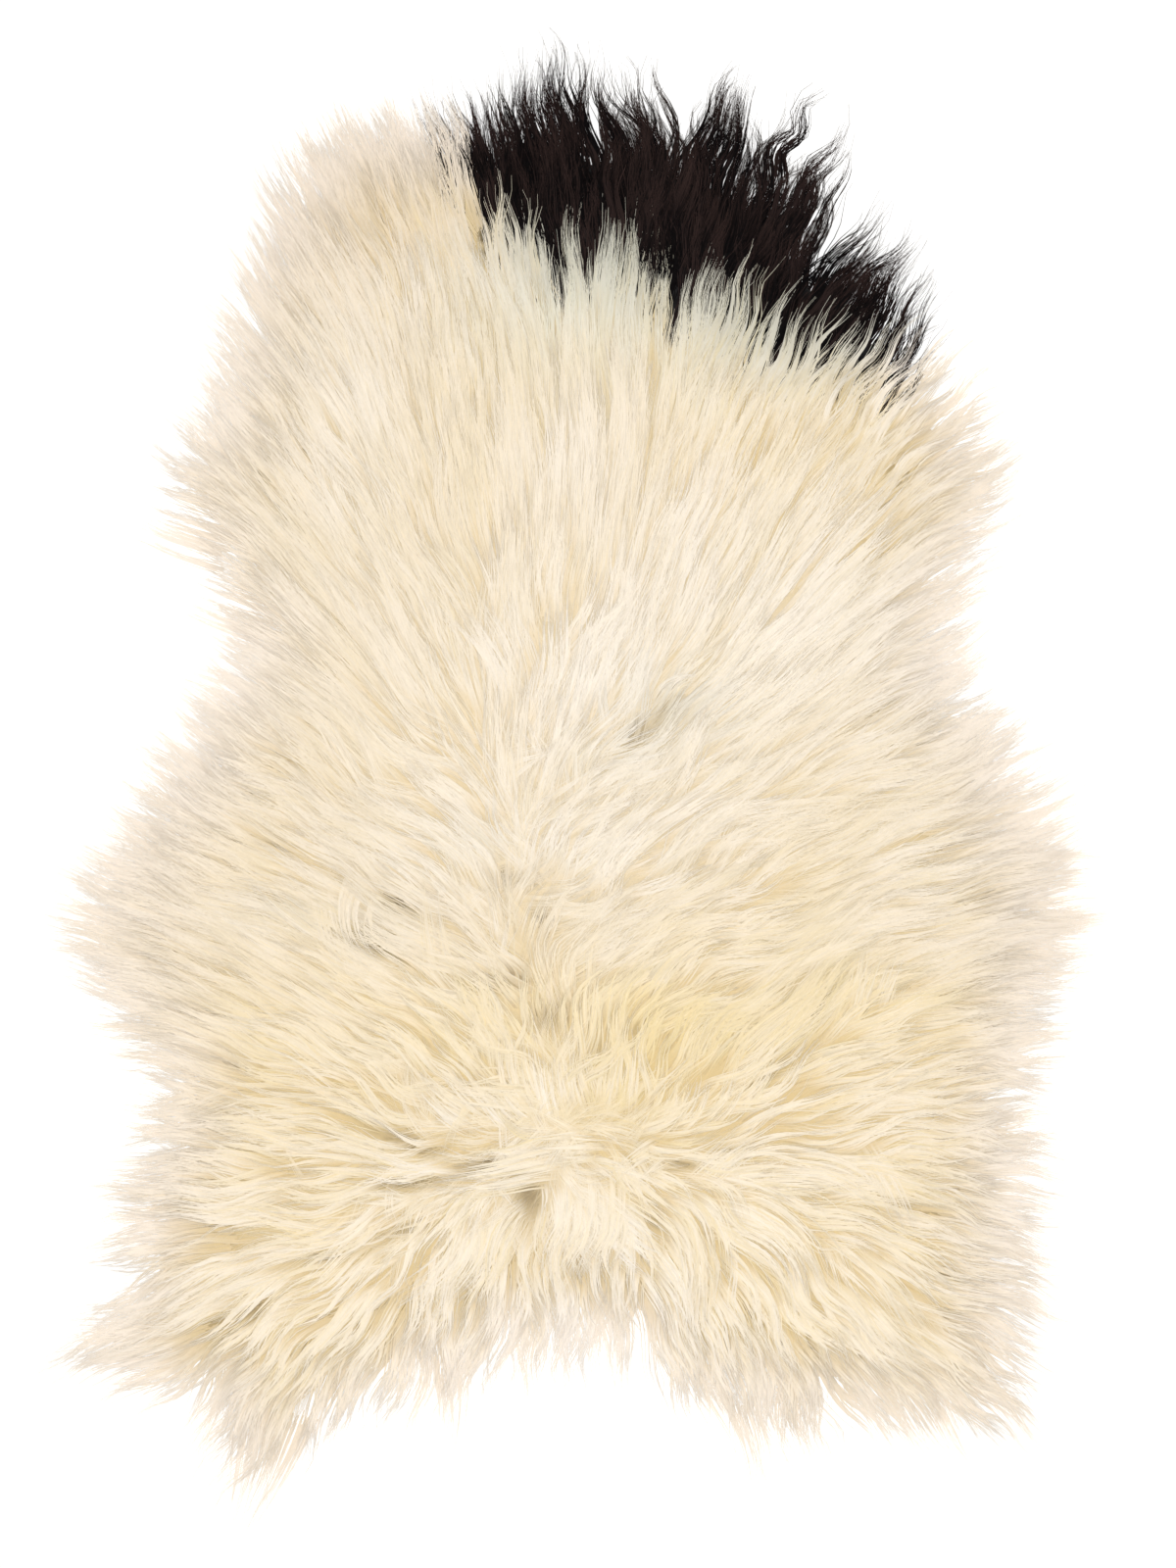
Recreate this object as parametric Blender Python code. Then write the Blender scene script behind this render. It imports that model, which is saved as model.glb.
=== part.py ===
"""A sheepskin rug: one whole tanned skin with its long wool on, lying wool side up.

Metres, +Z up. The rug lies on z = 0. +Y runs along the back to the nape, where the dark wool
is, and -Y to the tail. +X is on the right for someone who looks down with the nape at the top.

The fleece is one solid: a lumpy slab with a flat underside. Its top is covered with overlapping
tufts. At its rim the wool parts into tapered locks in two layers: the lower ones lie on the
floor, and the upper ones come out of the slope above them.
"""

import math
import random

import bmesh
import bpy
from mathutils import Matrix, Vector, geometry

MM = 0.001

# ---- driving sizes, in metres ----
PILE_CREST = 0.060  # top of the wool in the middle of the rug
PILE_SKIRT = 0.018  # top of the wool where the rim locks start
CROWN_RUN = 0.150  # how far in from the rim the wool reaches its full height
MESH_PITCH = 0.018  # between points of the top surface
RIM_CLEARANCE = 0.009  # no point of the top surface lies nearer to the rim than this

LOCK_PITCH = 0.033  # along the rim, from one lock on the floor to the next
LOCK_NOTCH = 0.009  # how far the gap between two locks cuts into the dense wool
LOCK_VALLEY_HEIGHT = 0.009  # top of the wool in that gap
LOCK_TIP_HEIGHT = 0.002
LOCK_SECTIONS = (
    # share along the lock, half width as a share of its width, ridge height, edge height
    (0.34, 0.38, 0.014, 0.006),
    (0.70, 0.20, 0.009, 0.004),
)

UPPER_PITCH = 0.045  # along the rim, from one lock of the upper layer to the next
UPPER_ROOT_RUN = 0.042  # how far inside the rim an upper lock starts
UPPER_HALF_WIDTH = 0.0125
UPPER_TIP_HEIGHT = 0.011
UPPER_SECTIONS = (
    # share along the lock, width and thickness as shares of the largest, height of the middle
    (0.00, 0.75, 0.75, 0.012),
    (0.38, 1.00, 1.00, 0.027),
    (0.72, 0.62, 0.62, 0.021),
)
UPPER_FLATNESS = 0.52  # thickness of an upper lock as a share of its width

TUFT_PITCH = 0.052  # from one tuft of the top to the next
TUFT_LENGTH = 0.105
TUFT_HALF_WIDTH = 0.026
TUFT_LIFT = 0.013
TUFT_CREST = 0.75  # share of a tuft's length where it is highest
TUFT_BLEND = 0.030  # tufts and partings fade out over this run towards the rim

# ---- how uneven the wool is: shares of the sizes above, and turns in degrees ----
PITCH_SPREAD = (0.55, 1.45)  # the widths of the locks along the rim
GRID_LOOSENESS = 0.22  # how far a scattered point strays from its grid
LOCK_LENGTH_SPREAD = (0.58, 1.0)
LOCK_NOTCH_SPREAD = (0.5, 1.3)
LOCK_BEND = 0.20  # how far a tip strays sideways
LOCK_WIDTH_SAY = 0.30  # how much of a lock's length follows its width
LEAN_KEPT = 0.55  # how much of its neighbour's lean a lock takes over
LEAN_STEP = 8.0
UPPER_TURN = 12.0
UPPER_REACH_SPREAD = (0.40, 0.72)
UPPER_SIZE_SPREAD = (0.75, 1.15)
UPPER_BEND = 0.10
TUFT_TURN = 14.0
TUFT_LENGTH_SPREAD = (0.8, 1.2)
TUFT_WIDTH_SPREAD = (0.8, 1.25)
TUFT_LIFT_SPREAD = (0.5, 1.3)

COMBING_BLUR = 0.020  # rows of the tables nearer than this count about alike
COMBING_POWER = 3  # how fast a row's say falls with distance
POINT_MERGE = 1e-7  # points nearer than this would fall together
INSIDE_ONLY = 1  # the triangulation's mode that leaves out what lies outside the outline

SEED = 7

# The edge of the dense wool, clockwise from the nape. x and y are in millimetres. Reach is how
# far the longest locks stand out past that edge, and heading is the way they point, in degrees
# anticlockwise from +X.
RIM = (
    # place, x, y, reach, heading
    ("nape left", -83, 505, 47, 104),
    ("nape", 27, 528, 62, 92),
    ("nape right", 128, 509, 48, 80),
    ("neck right", 206, 454, 40, 62),
    ("cheek right", 237, 384, 48, 56),
    ("shoulder right", 300, 286, 44, 38),
    ("elbow right", 321, 216, 38, 18),
    ("waist right", 286, 103, 33, 22),
    ("belly right", 339, 5, 42, 32),
    ("flank right", 368, -80, 47, 12),
    ("flank right, low", 364, -158, 52, 2),
    ("groin right", 346, -244, 42, 2),
    ("haunch right", 348, -361, 43, -14),
    ("haunch right, low", 340, -455, 46, -32),
    ("leg right", 331, -499, 50, -45),
    ("rump right, outer", 268, -494, 42, -62),
    ("rump right", 167, -495, 47, -78),
    ("rump right, inner", 89, -464, 58, -72),
    ("tail right", 42, -438, 58, -82),
    ("tail left", -28, -425, 58, -90),
    ("rump left", -106, -464, 52, -96),
    ("rump left, outer", -184, -490, 46, -108),
    ("leg left", -246, -526, 68, -108),
    ("leg left, inner", -289, -478, 44, -125),
    ("toe left", -352, -453, 74, -165),
    ("toe left, upper", -346, -400, 46, -160),
    ("haunch left", -340, -314, 42, -178),
    ("groin left", -317, -244, 42, 178),
    ("flank left, low", -356, -166, 52, 168),
    ("flank left", -357, -96, 57, 165),
    ("belly left", -309, 5, 42, 145),
    ("waist left", -258, 95, 33, 155),
    ("elbow left", -276, 158, 32, 152),
    ("shoulder left", -315, 232, 38, 150),
    ("shoulder left, upper", -271, 294, 38, 132),
    ("cheek left", -257, 372, 34, 130),
    ("neck left", -223, 462, 40, 122),
    ("nape left, outer", -149, 509, 47, 113),
)

# The way the wool is combed inside the rim, in the same units.
COMBING = (
    # place, x, y, heading
    ("neck", 10, 400, 92),
    ("neck left", -110, 350, 106),
    ("withers left", -185, 250, 122),
    ("withers", -50, 230, 98),
    ("withers right", 110, 230, 68),
    ("back left", -170, 90, 130),
    ("back", 0, 110, 86),
    ("back right", 150, 90, 46),
    ("loin left", -180, -50, 158),
    ("loin", 20, -20, 60),
    ("loin right", 180, -50, 18),
    ("rump left", -190, -180, 152),
    ("rump", 0, -190, 100),
    ("rump right", 190, -190, 20),
    ("thigh left", -200, -310, 178),
    ("thigh right", 200, -310, -12),
    ("tail left", -110, -380, -118),
    ("tail", 0, -370, -90),
    ("tail right", 130, -390, -66),
)

# Hollows where the wool parts, and the low ridges beside them, which have a depth below zero.
PARTINGS = (
    # place, x, y, heading, half length, half width, depth, all but the heading in millimetres
    ("tail parting", -36, -330, 80, 42, 20, 26),
    ("tail ridge", -20, -288, 4, 90, 20, -9),
    ("loin hollow left", -152, -112, 165, 62, 24, 15),
    ("loin hollow", -56, -160, 168, 60, 24, 13),
    ("back hollow", 62, 52, 60, 46, 30, 12),
    ("groin hollow left", -205, -325, 20, 55, 22, 11),
    ("thigh hollow right", 128, -318, -15, 62, 22, 12),
    ("withers hollow", -62, 205, 112, 70, 24, 8),
)

# The dark wool lies on the nape side of this line and to the right of its start.
DARK_EDGE = ((-88, 420), (-20, 411), (42, 395), (112, 376), (167, 360), (222, 312), (300, 295))

CREAM_WOOL, DARK_WOOL = 0, 1  # the fleece's material slots
CREAM = (0.86, 0.76, 0.56, 1.0)
BLACK = (0.012, 0.010, 0.010, 1.0)
WOOL_ROUGHNESS = 0.85
SMOOTHING_ANGLE = math.radians(50)


def clear_scene():
    for obj in list(bpy.data.objects):
        bpy.data.objects.remove(obj, do_unlink=True)


def direction(degrees):
    angle = math.radians(degrees)
    return Vector((math.cos(angle), math.sin(angle)))


def turned(heading, degrees):
    return Matrix.Rotation(math.radians(degrees), 2) @ heading


def smooth(share):
    share = min(max(share, 0.0), 1.0)
    return share * share * (3.0 - 2.0 * share)


# ---- the rim ----


def spline_point(rows, start, share):
    """A Catmull-Rom point between row start and the next one, on a closed table of vectors."""
    count = len(rows)
    p0, p1, p2, p3 = (rows[(start + step) % count] for step in (-1, 0, 1, 2))
    return 0.5 * (
        2.0 * p1
        + (p2 - p0) * share
        + (2.0 * p0 - 5.0 * p1 + 4.0 * p2 - p3) * share**2
        + (3.0 * p1 - p0 - 3.0 * p2 + p3) * share**3
    )


class Rim:
    """The edge of the dense wool as a closed curve, with the locks' reach and heading along it."""

    STEPS = 8  # straight pieces between two rows of the table

    def __init__(self):
        places = [Vector((x, y)) * MM for _, x, y, _, _ in RIM]
        reaches = [Vector((reach * MM, 0.0)) for _, _, _, reach, _ in RIM]
        headings = [direction(heading) for *_, heading in RIM]
        self.points = []
        self.reaches = []
        self.headings = []
        for row in range(len(RIM)):
            for step in range(self.STEPS):
                share = step / self.STEPS
                self.points.append(spline_point(places, row, share))
                self.reaches.append(spline_point(reaches, row, share).x)
                self.headings.append(spline_point(headings, row, share).normalized())
        self.distances = [0.0]
        for index, point in enumerate(self.points):
            following = self.points[(index + 1) % len(self.points)]
            self.distances.append(self.distances[-1] + (following - point).length)
        self.length = self.distances[-1]

    def at(self, distance):
        """(point, reach, heading) at this distance along the rim."""
        distance %= self.length
        index = sum(1 for passed in self.distances[1:-1] if passed <= distance)
        following = (index + 1) % len(self.points)
        start, end = self.distances[index], self.distances[index + 1]
        share = (distance - start) / (end - start)
        point = self.points[index].lerp(self.points[following], share)
        reach = self.reaches[index] * (1.0 - share) + self.reaches[following] * share
        heading = self.headings[index].lerp(self.headings[following], share).normalized()
        return point, reach, heading

    def outward(self, distance):
        """The normal of the rim, away from the rug."""
        step = 0.006
        along = self.at(distance + step)[0] - self.at(distance - step)[0]
        return Vector((-along.y, along.x)).normalized()


def uneven_starts(rim, pitch, rng):
    """Distances along the whole rim, about a pitch apart."""
    widths = [rng.uniform(*PITCH_SPREAD) for _ in range(round(rim.length / pitch))]
    scale = rim.length / sum(widths)
    starts = [0.0]
    for width in widths:
        starts.append(starts[-1] + width * scale)
    return starts


def rim_locks(rim, rng):
    """The locks on the floor: for each, the valley before it, and its sides, ridge and tip."""
    starts = uneven_starts(rim, LOCK_PITCH, rng)
    locks = []
    lean = 0.0
    for start, end in zip(starts, starts[1:]):
        width = end - start
        middle, reach, heading = rim.at((start + end) / 2.0)
        # Neighbouring locks lean together, in tufts.
        lean = LEAN_KEPT * lean + rng.uniform(-LEAN_STEP, LEAN_STEP)
        heading = turned(heading, lean)
        left = turned(heading, 90.0)
        width_share = 1.0 - LOCK_WIDTH_SAY + LOCK_WIDTH_SAY * width / LOCK_PITCH
        length = reach * rng.uniform(*LOCK_LENGTH_SPREAD) * width_share
        bend = left * length * rng.uniform(-LOCK_BEND, LOCK_BEND)
        notch = rim.outward(start) * LOCK_NOTCH * rng.uniform(*LOCK_NOTCH_SPREAD)
        lock = {
            "valley": rim.at(start)[0] - notch,
            "tip": middle + heading * length + bend,
            "before": [],
            "ridge": [(middle, PILE_SKIRT)],
            "after": [],
        }
        for share, half_width, ridge_height, edge_height in LOCK_SECTIONS:
            centre = middle + heading * length * share + bend * share**2
            side = left * width * half_width
            # The rim runs clockwise, so a lock starts on its left.
            lock["before"].append((centre + side, edge_height))
            lock["ridge"].append((centre, ridge_height))
            lock["after"].insert(0, (centre - side, edge_height))
        locks.append(lock)
    return locks


def rim_outline(locks):
    """The outline of the solid as (point, height of its edge)."""
    outline = []
    for lock in locks:
        outline.append((lock["valley"], LOCK_VALLEY_HEIGHT))
        outline += lock["before"]
        outline.append((lock["tip"], LOCK_TIP_HEIGHT))
        outline += lock["after"]
    return outline


# ---- the top of the wool ----


def heading_rows():
    rows = [(Vector((x, y)) * MM, direction(heading)) for _, x, y, _, heading in RIM]
    rows += [(Vector((x, y)) * MM, direction(heading)) for _, x, y, heading in COMBING]
    return rows


def combing_heading(point, rows):
    """The way the wool lies at a point: the tables' rows, the near ones far more than the rest."""
    total = Vector((0.0, 0.0))
    for place, heading in rows:
        total += heading / ((place - point).length + COMBING_BLUR) ** COMBING_POWER
    return total.normalized()


def inside(point, outline):
    """True where the point lies within the closed outline."""
    found = False
    for index, a in enumerate(outline):
        b = outline[index - 1]
        if (a.y > point.y) != (b.y > point.y):
            if point.x < (b.x - a.x) * (point.y - a.y) / (b.y - a.y) + a.x:
                found = not found
    return found


def distance_to(point, outline):
    """How far the point lies from the closed outline."""
    nearest = math.inf
    for index, a in enumerate(outline):
        edge = outline[index - 1] - a
        share = min(max((point - a).dot(edge) / edge.length_squared, 0.0), 1.0)
        nearest = min(nearest, (a + edge * share - point).length)
    return nearest


def scattered(outline, pitch, clearance, rng):
    """Points on a loosened hexagonal grid inside the outline, that far from it."""
    left, right = min(p.x for p in outline), max(p.x for p in outline)
    low, high = min(p.y for p in outline), max(p.y for p in outline)
    row_pitch = pitch * math.sqrt(0.75)
    loose = GRID_LOOSENESS * pitch
    points = []
    for row in range(math.ceil((high - low) / row_pitch)):
        shift = 0.5 * pitch * (row % 2)
        for column in range(math.ceil((right - left) / pitch)):
            grid = Vector((left + shift + column * pitch, low + row * row_pitch))
            point = grid + Vector((rng.uniform(-loose, loose), rng.uniform(-loose, loose)))
            if inside(point, outline) and distance_to(point, outline) > clearance:
                points.append(point)
    return points


def make_tufts(rim, rng):
    """The tufts of the top: where each starts, the way it points, its size and its lift."""
    rows = heading_rows()
    tufts = []
    for root in scattered(rim.points, TUFT_PITCH, RIM_CLEARANCE, rng):
        turn = rng.uniform(-TUFT_TURN, TUFT_TURN)
        tufts.append(
            {
                "root": root,
                "heading": turned(combing_heading(root, rows), turn),
                "length": TUFT_LENGTH * rng.uniform(*TUFT_LENGTH_SPREAD),
                "half_width": TUFT_HALF_WIDTH * rng.uniform(*TUFT_WIDTH_SPREAD),
                "lift": TUFT_LIFT * rng.uniform(*TUFT_LIFT_SPREAD),
            }
        )
    return tufts


def tuft_relief(point, tufts):
    """A tuft rises from its root, is highest near its end and drops there onto the next one."""
    highest = 0.0
    for tuft in tufts:
        away = point - tuft["root"]
        along = away.dot(tuft["heading"]) / tuft["length"]
        across = away.cross(tuft["heading"]) / tuft["half_width"]
        if 0.0 < along < 1.0 and abs(across) < 1.0:
            rise = smooth(along / TUFT_CREST)
            drop = 1.0 - smooth((along - TUFT_CREST) / (1.0 - TUFT_CREST))
            highest = max(highest, tuft["lift"] * rise * drop * (1.0 - across**2))
    return highest


def parting_depth(point):
    total = 0.0
    for _, x, y, heading, half_length, half_width, depth in PARTINGS:
        away = point - Vector((x, y)) * MM
        along = away.dot(direction(heading)) / (half_length * MM)
        across = away.cross(direction(heading)) / (half_width * MM)
        total += depth * MM * math.exp(-(along**2) - across**2)
    return total


def pile_height(point, rim, tufts):
    """The top of the wool over a point inside the rim."""
    run = distance_to(point, rim.points)
    crown = math.sin(0.5 * math.pi * min(run / CROWN_RUN, 1.0))
    relief = tuft_relief(point, tufts) - parting_depth(point)
    return PILE_SKIRT + (PILE_CREST - PILE_SKIRT) * crown + smooth(run / TUFT_BLEND) * relief


# ---- the solids ----


def triangulate(points, outline_count):
    """Triangles over the points, inside the closed outline that the first of them form."""
    loop = [(index, (index + 1) % outline_count) for index in range(outline_count)]
    made = geometry.delaunay_2d_cdt(points, loop, [], INSIDE_ONLY, POINT_MERGE)
    placed, _, faces, origins, *_ = made
    if len(placed) != len(points):
        raise ValueError("two locks at the rim cross each other")
    return [tuple(origins[corner][0] for corner in face) for face in faces]


def slab_mesh(rim, rng):
    """The slab with the locks on the floor: its top, its flat underside and its low edge."""
    locks = rim_locks(rim, rng)
    outline = rim_outline(locks)
    tufts = make_tufts(rim, rng)
    tops = outline + [point for lock in locks for point in lock["ridge"]]
    for point in scattered(rim.points, MESH_PITCH, RIM_CLEARANCE, rng):
        tops.append((point, pile_height(point, rim, tufts)))

    made = bmesh.new()
    top = [made.verts.new((point.x, point.y, height)) for point, height in tops]
    floor = [made.verts.new((point.x, point.y, 0.0)) for point, _ in outline]
    for a, b, c in triangulate([point for point, _ in tops], len(outline)):
        made.faces.new((top[a], top[b], top[c]))
    for a, b, c in triangulate([point for point, _ in outline], len(outline)):
        made.faces.new((floor[c], floor[b], floor[a]))
    for index in range(len(outline)):
        after = (index + 1) % len(outline)
        made.faces.new((top[index], top[after], floor[after], floor[index]))
    bmesh.ops.recalc_face_normals(made, faces=made.faces)
    return made


def add_upper_lock(made, rim, distance, rng):
    """A tapered lock of four sides, from a root inside the slab to a tip outside the rim."""
    middle, reach, heading = rim.at(distance)
    heading = turned(heading, rng.uniform(-UPPER_TURN, UPPER_TURN))
    left = turned(heading, 90.0).to_3d()
    root = middle - heading * UPPER_ROOT_RUN
    run = UPPER_ROOT_RUN + reach * rng.uniform(*UPPER_REACH_SPREAD)
    bend = turned(heading, 90.0) * run * rng.uniform(-UPPER_BEND, UPPER_BEND)
    size = UPPER_HALF_WIDTH * rng.uniform(*UPPER_SIZE_SPREAD)
    rings = []
    for share, width, thickness, height in UPPER_SECTIONS:
        centre = (root + heading * run * share + bend * share**2).to_3d()
        centre.z = height
        side = left * size * width
        rise = Vector((0.0, 0.0, size * thickness * UPPER_FLATNESS))
        corners = (centre + side, centre - rise, centre - side, centre + rise)
        rings.append([made.verts.new(corner) for corner in corners])
    tip = (root + heading * run + bend).to_3d()
    tip.z = UPPER_TIP_HEIGHT
    tip = made.verts.new(tip)
    made.faces.new(rings[0])
    for ring, following in zip(rings, rings[1:]):
        for side in range(4):
            after = (side + 1) % 4
            made.faces.new((ring[side], ring[after], following[after], following[side]))
    for side in range(4):
        made.faces.new((rings[-1][side], rings[-1][(side + 1) % 4], tip))


def upper_mesh(rim, rng):
    """All the locks of the upper layer, which stand clear of each other."""
    made = bmesh.new()
    starts = uneven_starts(rim, UPPER_PITCH, rng)
    for start, end in zip(starts, starts[1:]):
        add_upper_lock(made, rim, (start + end) / 2.0, rng)
    bmesh.ops.recalc_face_normals(made, faces=made.faces)
    return made


def box_middle(made):
    """The middle of the box around the mesh, at the floor."""
    xs = [vertex.co.x for vertex in made.verts]
    ys = [vertex.co.y for vertex in made.verts]
    return Vector(((min(xs) + max(xs)) / 2.0, (min(ys) + max(ys)) / 2.0, 0.0))


def is_dark(point):
    """True where the dark wool lies."""
    x, y = point.x / MM, point.y / MM
    if x < DARK_EDGE[0][0]:
        return False
    for (x0, y0), (x1, y1) in zip(DARK_EDGE, DARK_EDGE[1:]):
        if x <= x1:
            return y > y0 + (y1 - y0) * (x - x0) / (x1 - x0)
    return False


def paint_dark_wool(made):
    for face in made.faces:
        if is_dark(face.calc_center_median()):
            face.material_index = DARK_WOOL


def make_material(name, colour):
    material = bpy.data.materials.new(name)
    material.use_nodes = True
    shader = material.node_tree.nodes["Principled BSDF"]
    shader.inputs["Base Color"].default_value = colour
    shader.inputs["Roughness"].default_value = WOOL_ROUGHNESS
    shader.inputs["Metallic"].default_value = 0.0
    material.diffuse_color = colour
    return material


def make_object(name, made, materials):
    mesh = bpy.data.meshes.new(name)
    made.to_mesh(mesh)
    made.free()
    for material in materials:
        mesh.materials.append(material)
    mesh.shade_smooth()
    mesh.set_sharp_from_angle(angle=SMOOTHING_ANGLE)
    obj = bpy.data.objects.new(name, mesh)
    bpy.context.scene.collection.objects.link(obj)
    return obj


def make_fleece():
    rng = random.Random(SEED)
    rim = Rim()
    slab = slab_mesh(rim, rng)
    upper = upper_mesh(rim, rng)
    middle = box_middle(slab)
    for made in (slab, upper):
        paint_dark_wool(made)
        bmesh.ops.translate(made, verts=made.verts, vec=-middle)
    wool = make_material("cream wool", CREAM), make_material("dark wool", BLACK)
    fleece = make_object("fleece", slab, wool)
    helper = make_object("upper locks", upper, wool)
    helper.hide_render = True
    helper.display_type = "WIRE"
    join = fleece.modifiers.new("upper locks", "BOOLEAN")
    join.operation = "UNION"
    join.solver = "EXACT"
    join.object = helper


def main():
    clear_scene()
    make_fleece()


main()
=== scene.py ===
"""The looks of the sheepskin rug: its long wool, its skin, and a camera and light above it.

Metres, +Z up, +Y to the nape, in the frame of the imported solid. The wool is grown in tufts of
locks: each lock is a line over the fleece that follows the way the wool is combed, with fine
fibres in bunches along it, and in the wavy and the dark wool a closed tapered body too. The
heights come from the solid, and its outline says where the wool ends.
"""

import math

import bmesh
import bpy
import numpy as np
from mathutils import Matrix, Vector, geometry
from mathutils.bvhtree import BVHTree


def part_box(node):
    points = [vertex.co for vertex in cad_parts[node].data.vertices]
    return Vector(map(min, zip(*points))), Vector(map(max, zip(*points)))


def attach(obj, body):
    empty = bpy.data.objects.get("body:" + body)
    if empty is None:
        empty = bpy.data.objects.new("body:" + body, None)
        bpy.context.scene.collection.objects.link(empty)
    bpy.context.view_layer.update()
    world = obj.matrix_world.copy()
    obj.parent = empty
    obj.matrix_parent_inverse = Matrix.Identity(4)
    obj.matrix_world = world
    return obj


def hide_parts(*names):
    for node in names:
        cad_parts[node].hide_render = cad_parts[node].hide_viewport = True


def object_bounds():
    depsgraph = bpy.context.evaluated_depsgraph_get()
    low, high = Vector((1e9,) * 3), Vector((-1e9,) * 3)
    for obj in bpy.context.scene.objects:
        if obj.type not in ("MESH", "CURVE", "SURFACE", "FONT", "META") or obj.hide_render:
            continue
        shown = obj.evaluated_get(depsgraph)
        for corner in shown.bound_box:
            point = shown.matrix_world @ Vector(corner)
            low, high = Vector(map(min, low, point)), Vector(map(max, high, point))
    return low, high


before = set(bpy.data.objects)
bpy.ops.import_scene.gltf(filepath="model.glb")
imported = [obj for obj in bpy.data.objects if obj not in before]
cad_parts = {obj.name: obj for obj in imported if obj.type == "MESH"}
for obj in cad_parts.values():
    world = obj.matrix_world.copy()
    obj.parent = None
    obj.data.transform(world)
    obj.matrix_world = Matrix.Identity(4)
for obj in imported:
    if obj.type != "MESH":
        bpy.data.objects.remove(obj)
CAD_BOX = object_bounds()

MM = 0.001
SEED = 11

# ---- the camera and the light, straight above ----
CAMERA_LENS_MM = 85.0
CAMERA_PLACE = (0.015, -0.0035, 2.95)
LIGHT_SIZE = 0.12
LIGHT_POWER = 99.5
SKY_STRENGTH = 0.13
SKY_COLOUR = (1.0, 0.90, 0.72, 1.0)  # warm, for the gaps between the locks
FLOOR_SIZE = 12.0
FLOOR_DROP = 0.0003  # below the underside of the rug
FLOOR_COLOUR = (0.96, 0.96, 0.96, 1.0)

# ---- the fields over the floor ----
GRID_PITCH = 0.0025
GRID_MARGIN = 0.070
CORE_BLUR = 0.016  # how far the locks of the rim are smoothed away to find the dense wool
CORE_SHARE = 0.60
SOFT_BLUR = 0.012
SOFT_SHARE = 0.50
RIM_FROM_SOFT = 0.50  # how much loose wool's limit follows the smoothed outline
SPIKES_DEPTH = 0.024  # how much further in the dense wool ends below the spiky tufts
HEIGHT_BLUR = 0.006
REACH = 0.090  # no distance to an outline beyond this is needed
RIM_CENTRE = (0.0, -0.080)  # the edge of the dense wool is seen whole from here

# ---- how far in from the edge of the dense wool each layer ends ----
SKIN_EDGE = -0.050
UNDERWOOL_EDGE = -0.036
UNDERWOOL_SLOPE = 0.062  # how far in from its edge the underwool is at its full height
UNDERWOOL_SHARE = 0.86  # of the solid's height
# the underwool is darkened for the shade of the gaps it lies in
UNDERWOOL_PAINTED_SHADE = 0.93
ROOTS_EDGE = -0.040
SKIN_THICKNESS = 0.0016
UNDERWOOL_PITCH = 0.0056  # between the points of its top

# ---- the wool ----
TUFT_PITCH = 0.034
TUFT_SHORT = 0.06  # how far tufts end short of the wool's limit, as a share of the haze there
LOCK_SHORT = 0.06  # and the locks of a tuft
MAX_SPILL = 0.028
LOCK_PITCH = 0.0112
LINE_STEPS = 28  # points along a lock's line
LINE_SPARE = 1.12  # a lock's line goes on past its end, for its longest fibres
LOCK_LIFT = 0.0135  # how far a lock of the usual tuft rises over the fleece
LOCK_SINK = 0.008
SHORTEST_LOCK = 0.022
LOWEST = 0.0012  # no lock lies nearer to the floor
LOWEST_FIBRE = 0.0010
CEILING = CAD_BOX[1][2] + 0.010
LOCK_SPREAD = 0.0048
LOCK_ARCH = 0.0040  # how far the sides of a closed lock lie below its middle
BUNCHES = 5  # of fibres to a lock
BUNCHING = 0.80  # how far the fibres of a bunch draw together
WIGGLE = 0.0006  # how far a bunch wanders from side to side
DARK_WIGGLE = 0.0042
STRAIGHT_FIBRES = 18  # to a lock
WAVY_FIBRES = 10
DARK_FIBRES = 15
WOOL_GLOSS = 0.12
DARK_GLOSS = 0.02
STRAIGHT_SEGMENTS = 4
WAVY_SEGMENTS = 8
WAVY_FROM = 13.0  # locks that bend by more degrees than this are wavy
FIBRE_WIDTH = 0.00095
WAVY_WIDTH = 0.00125
FIBRE_TIP_SHARE = 0.15
BODY_WIDTH = 0.0056
BODY_SEGMENTS = 6
BODY_SINK = 0.0022  # how far a lock's body lies below its fibres
BODY_SECTION = ((-1.0, -0.12), (1.0, -0.12), (0.0, 0.38))  # across and up, in half widths
SHARP_EDGE = 85.0  # degrees
FEATURE_PITCH = 4.6  # millimetres between the locks of a listed tuft
FILL_PITCH = 0.0090
FILL_BLUR = 0.005
FILL_LENGTH = 0.062
BARE_COVER = 0.32  # a place with less wool over it than this share of the usual is filled
RISE_SHARE = 0.55  # of a lock's length, from its root to its full height
NORMALS_UP = 0.78  # how far the fibres are shaded as if they lay level
BODY_LENGTHS = (0.58, 0.76)  # of a lock's length
DARK_BODY_LENGTHS = (0.24, 0.42)
MAX_TRIANGLES = 199000  # in one piece

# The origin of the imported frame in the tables' millimetres.
TABLES_MIDDLE = (-3.965, 1.202)

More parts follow.
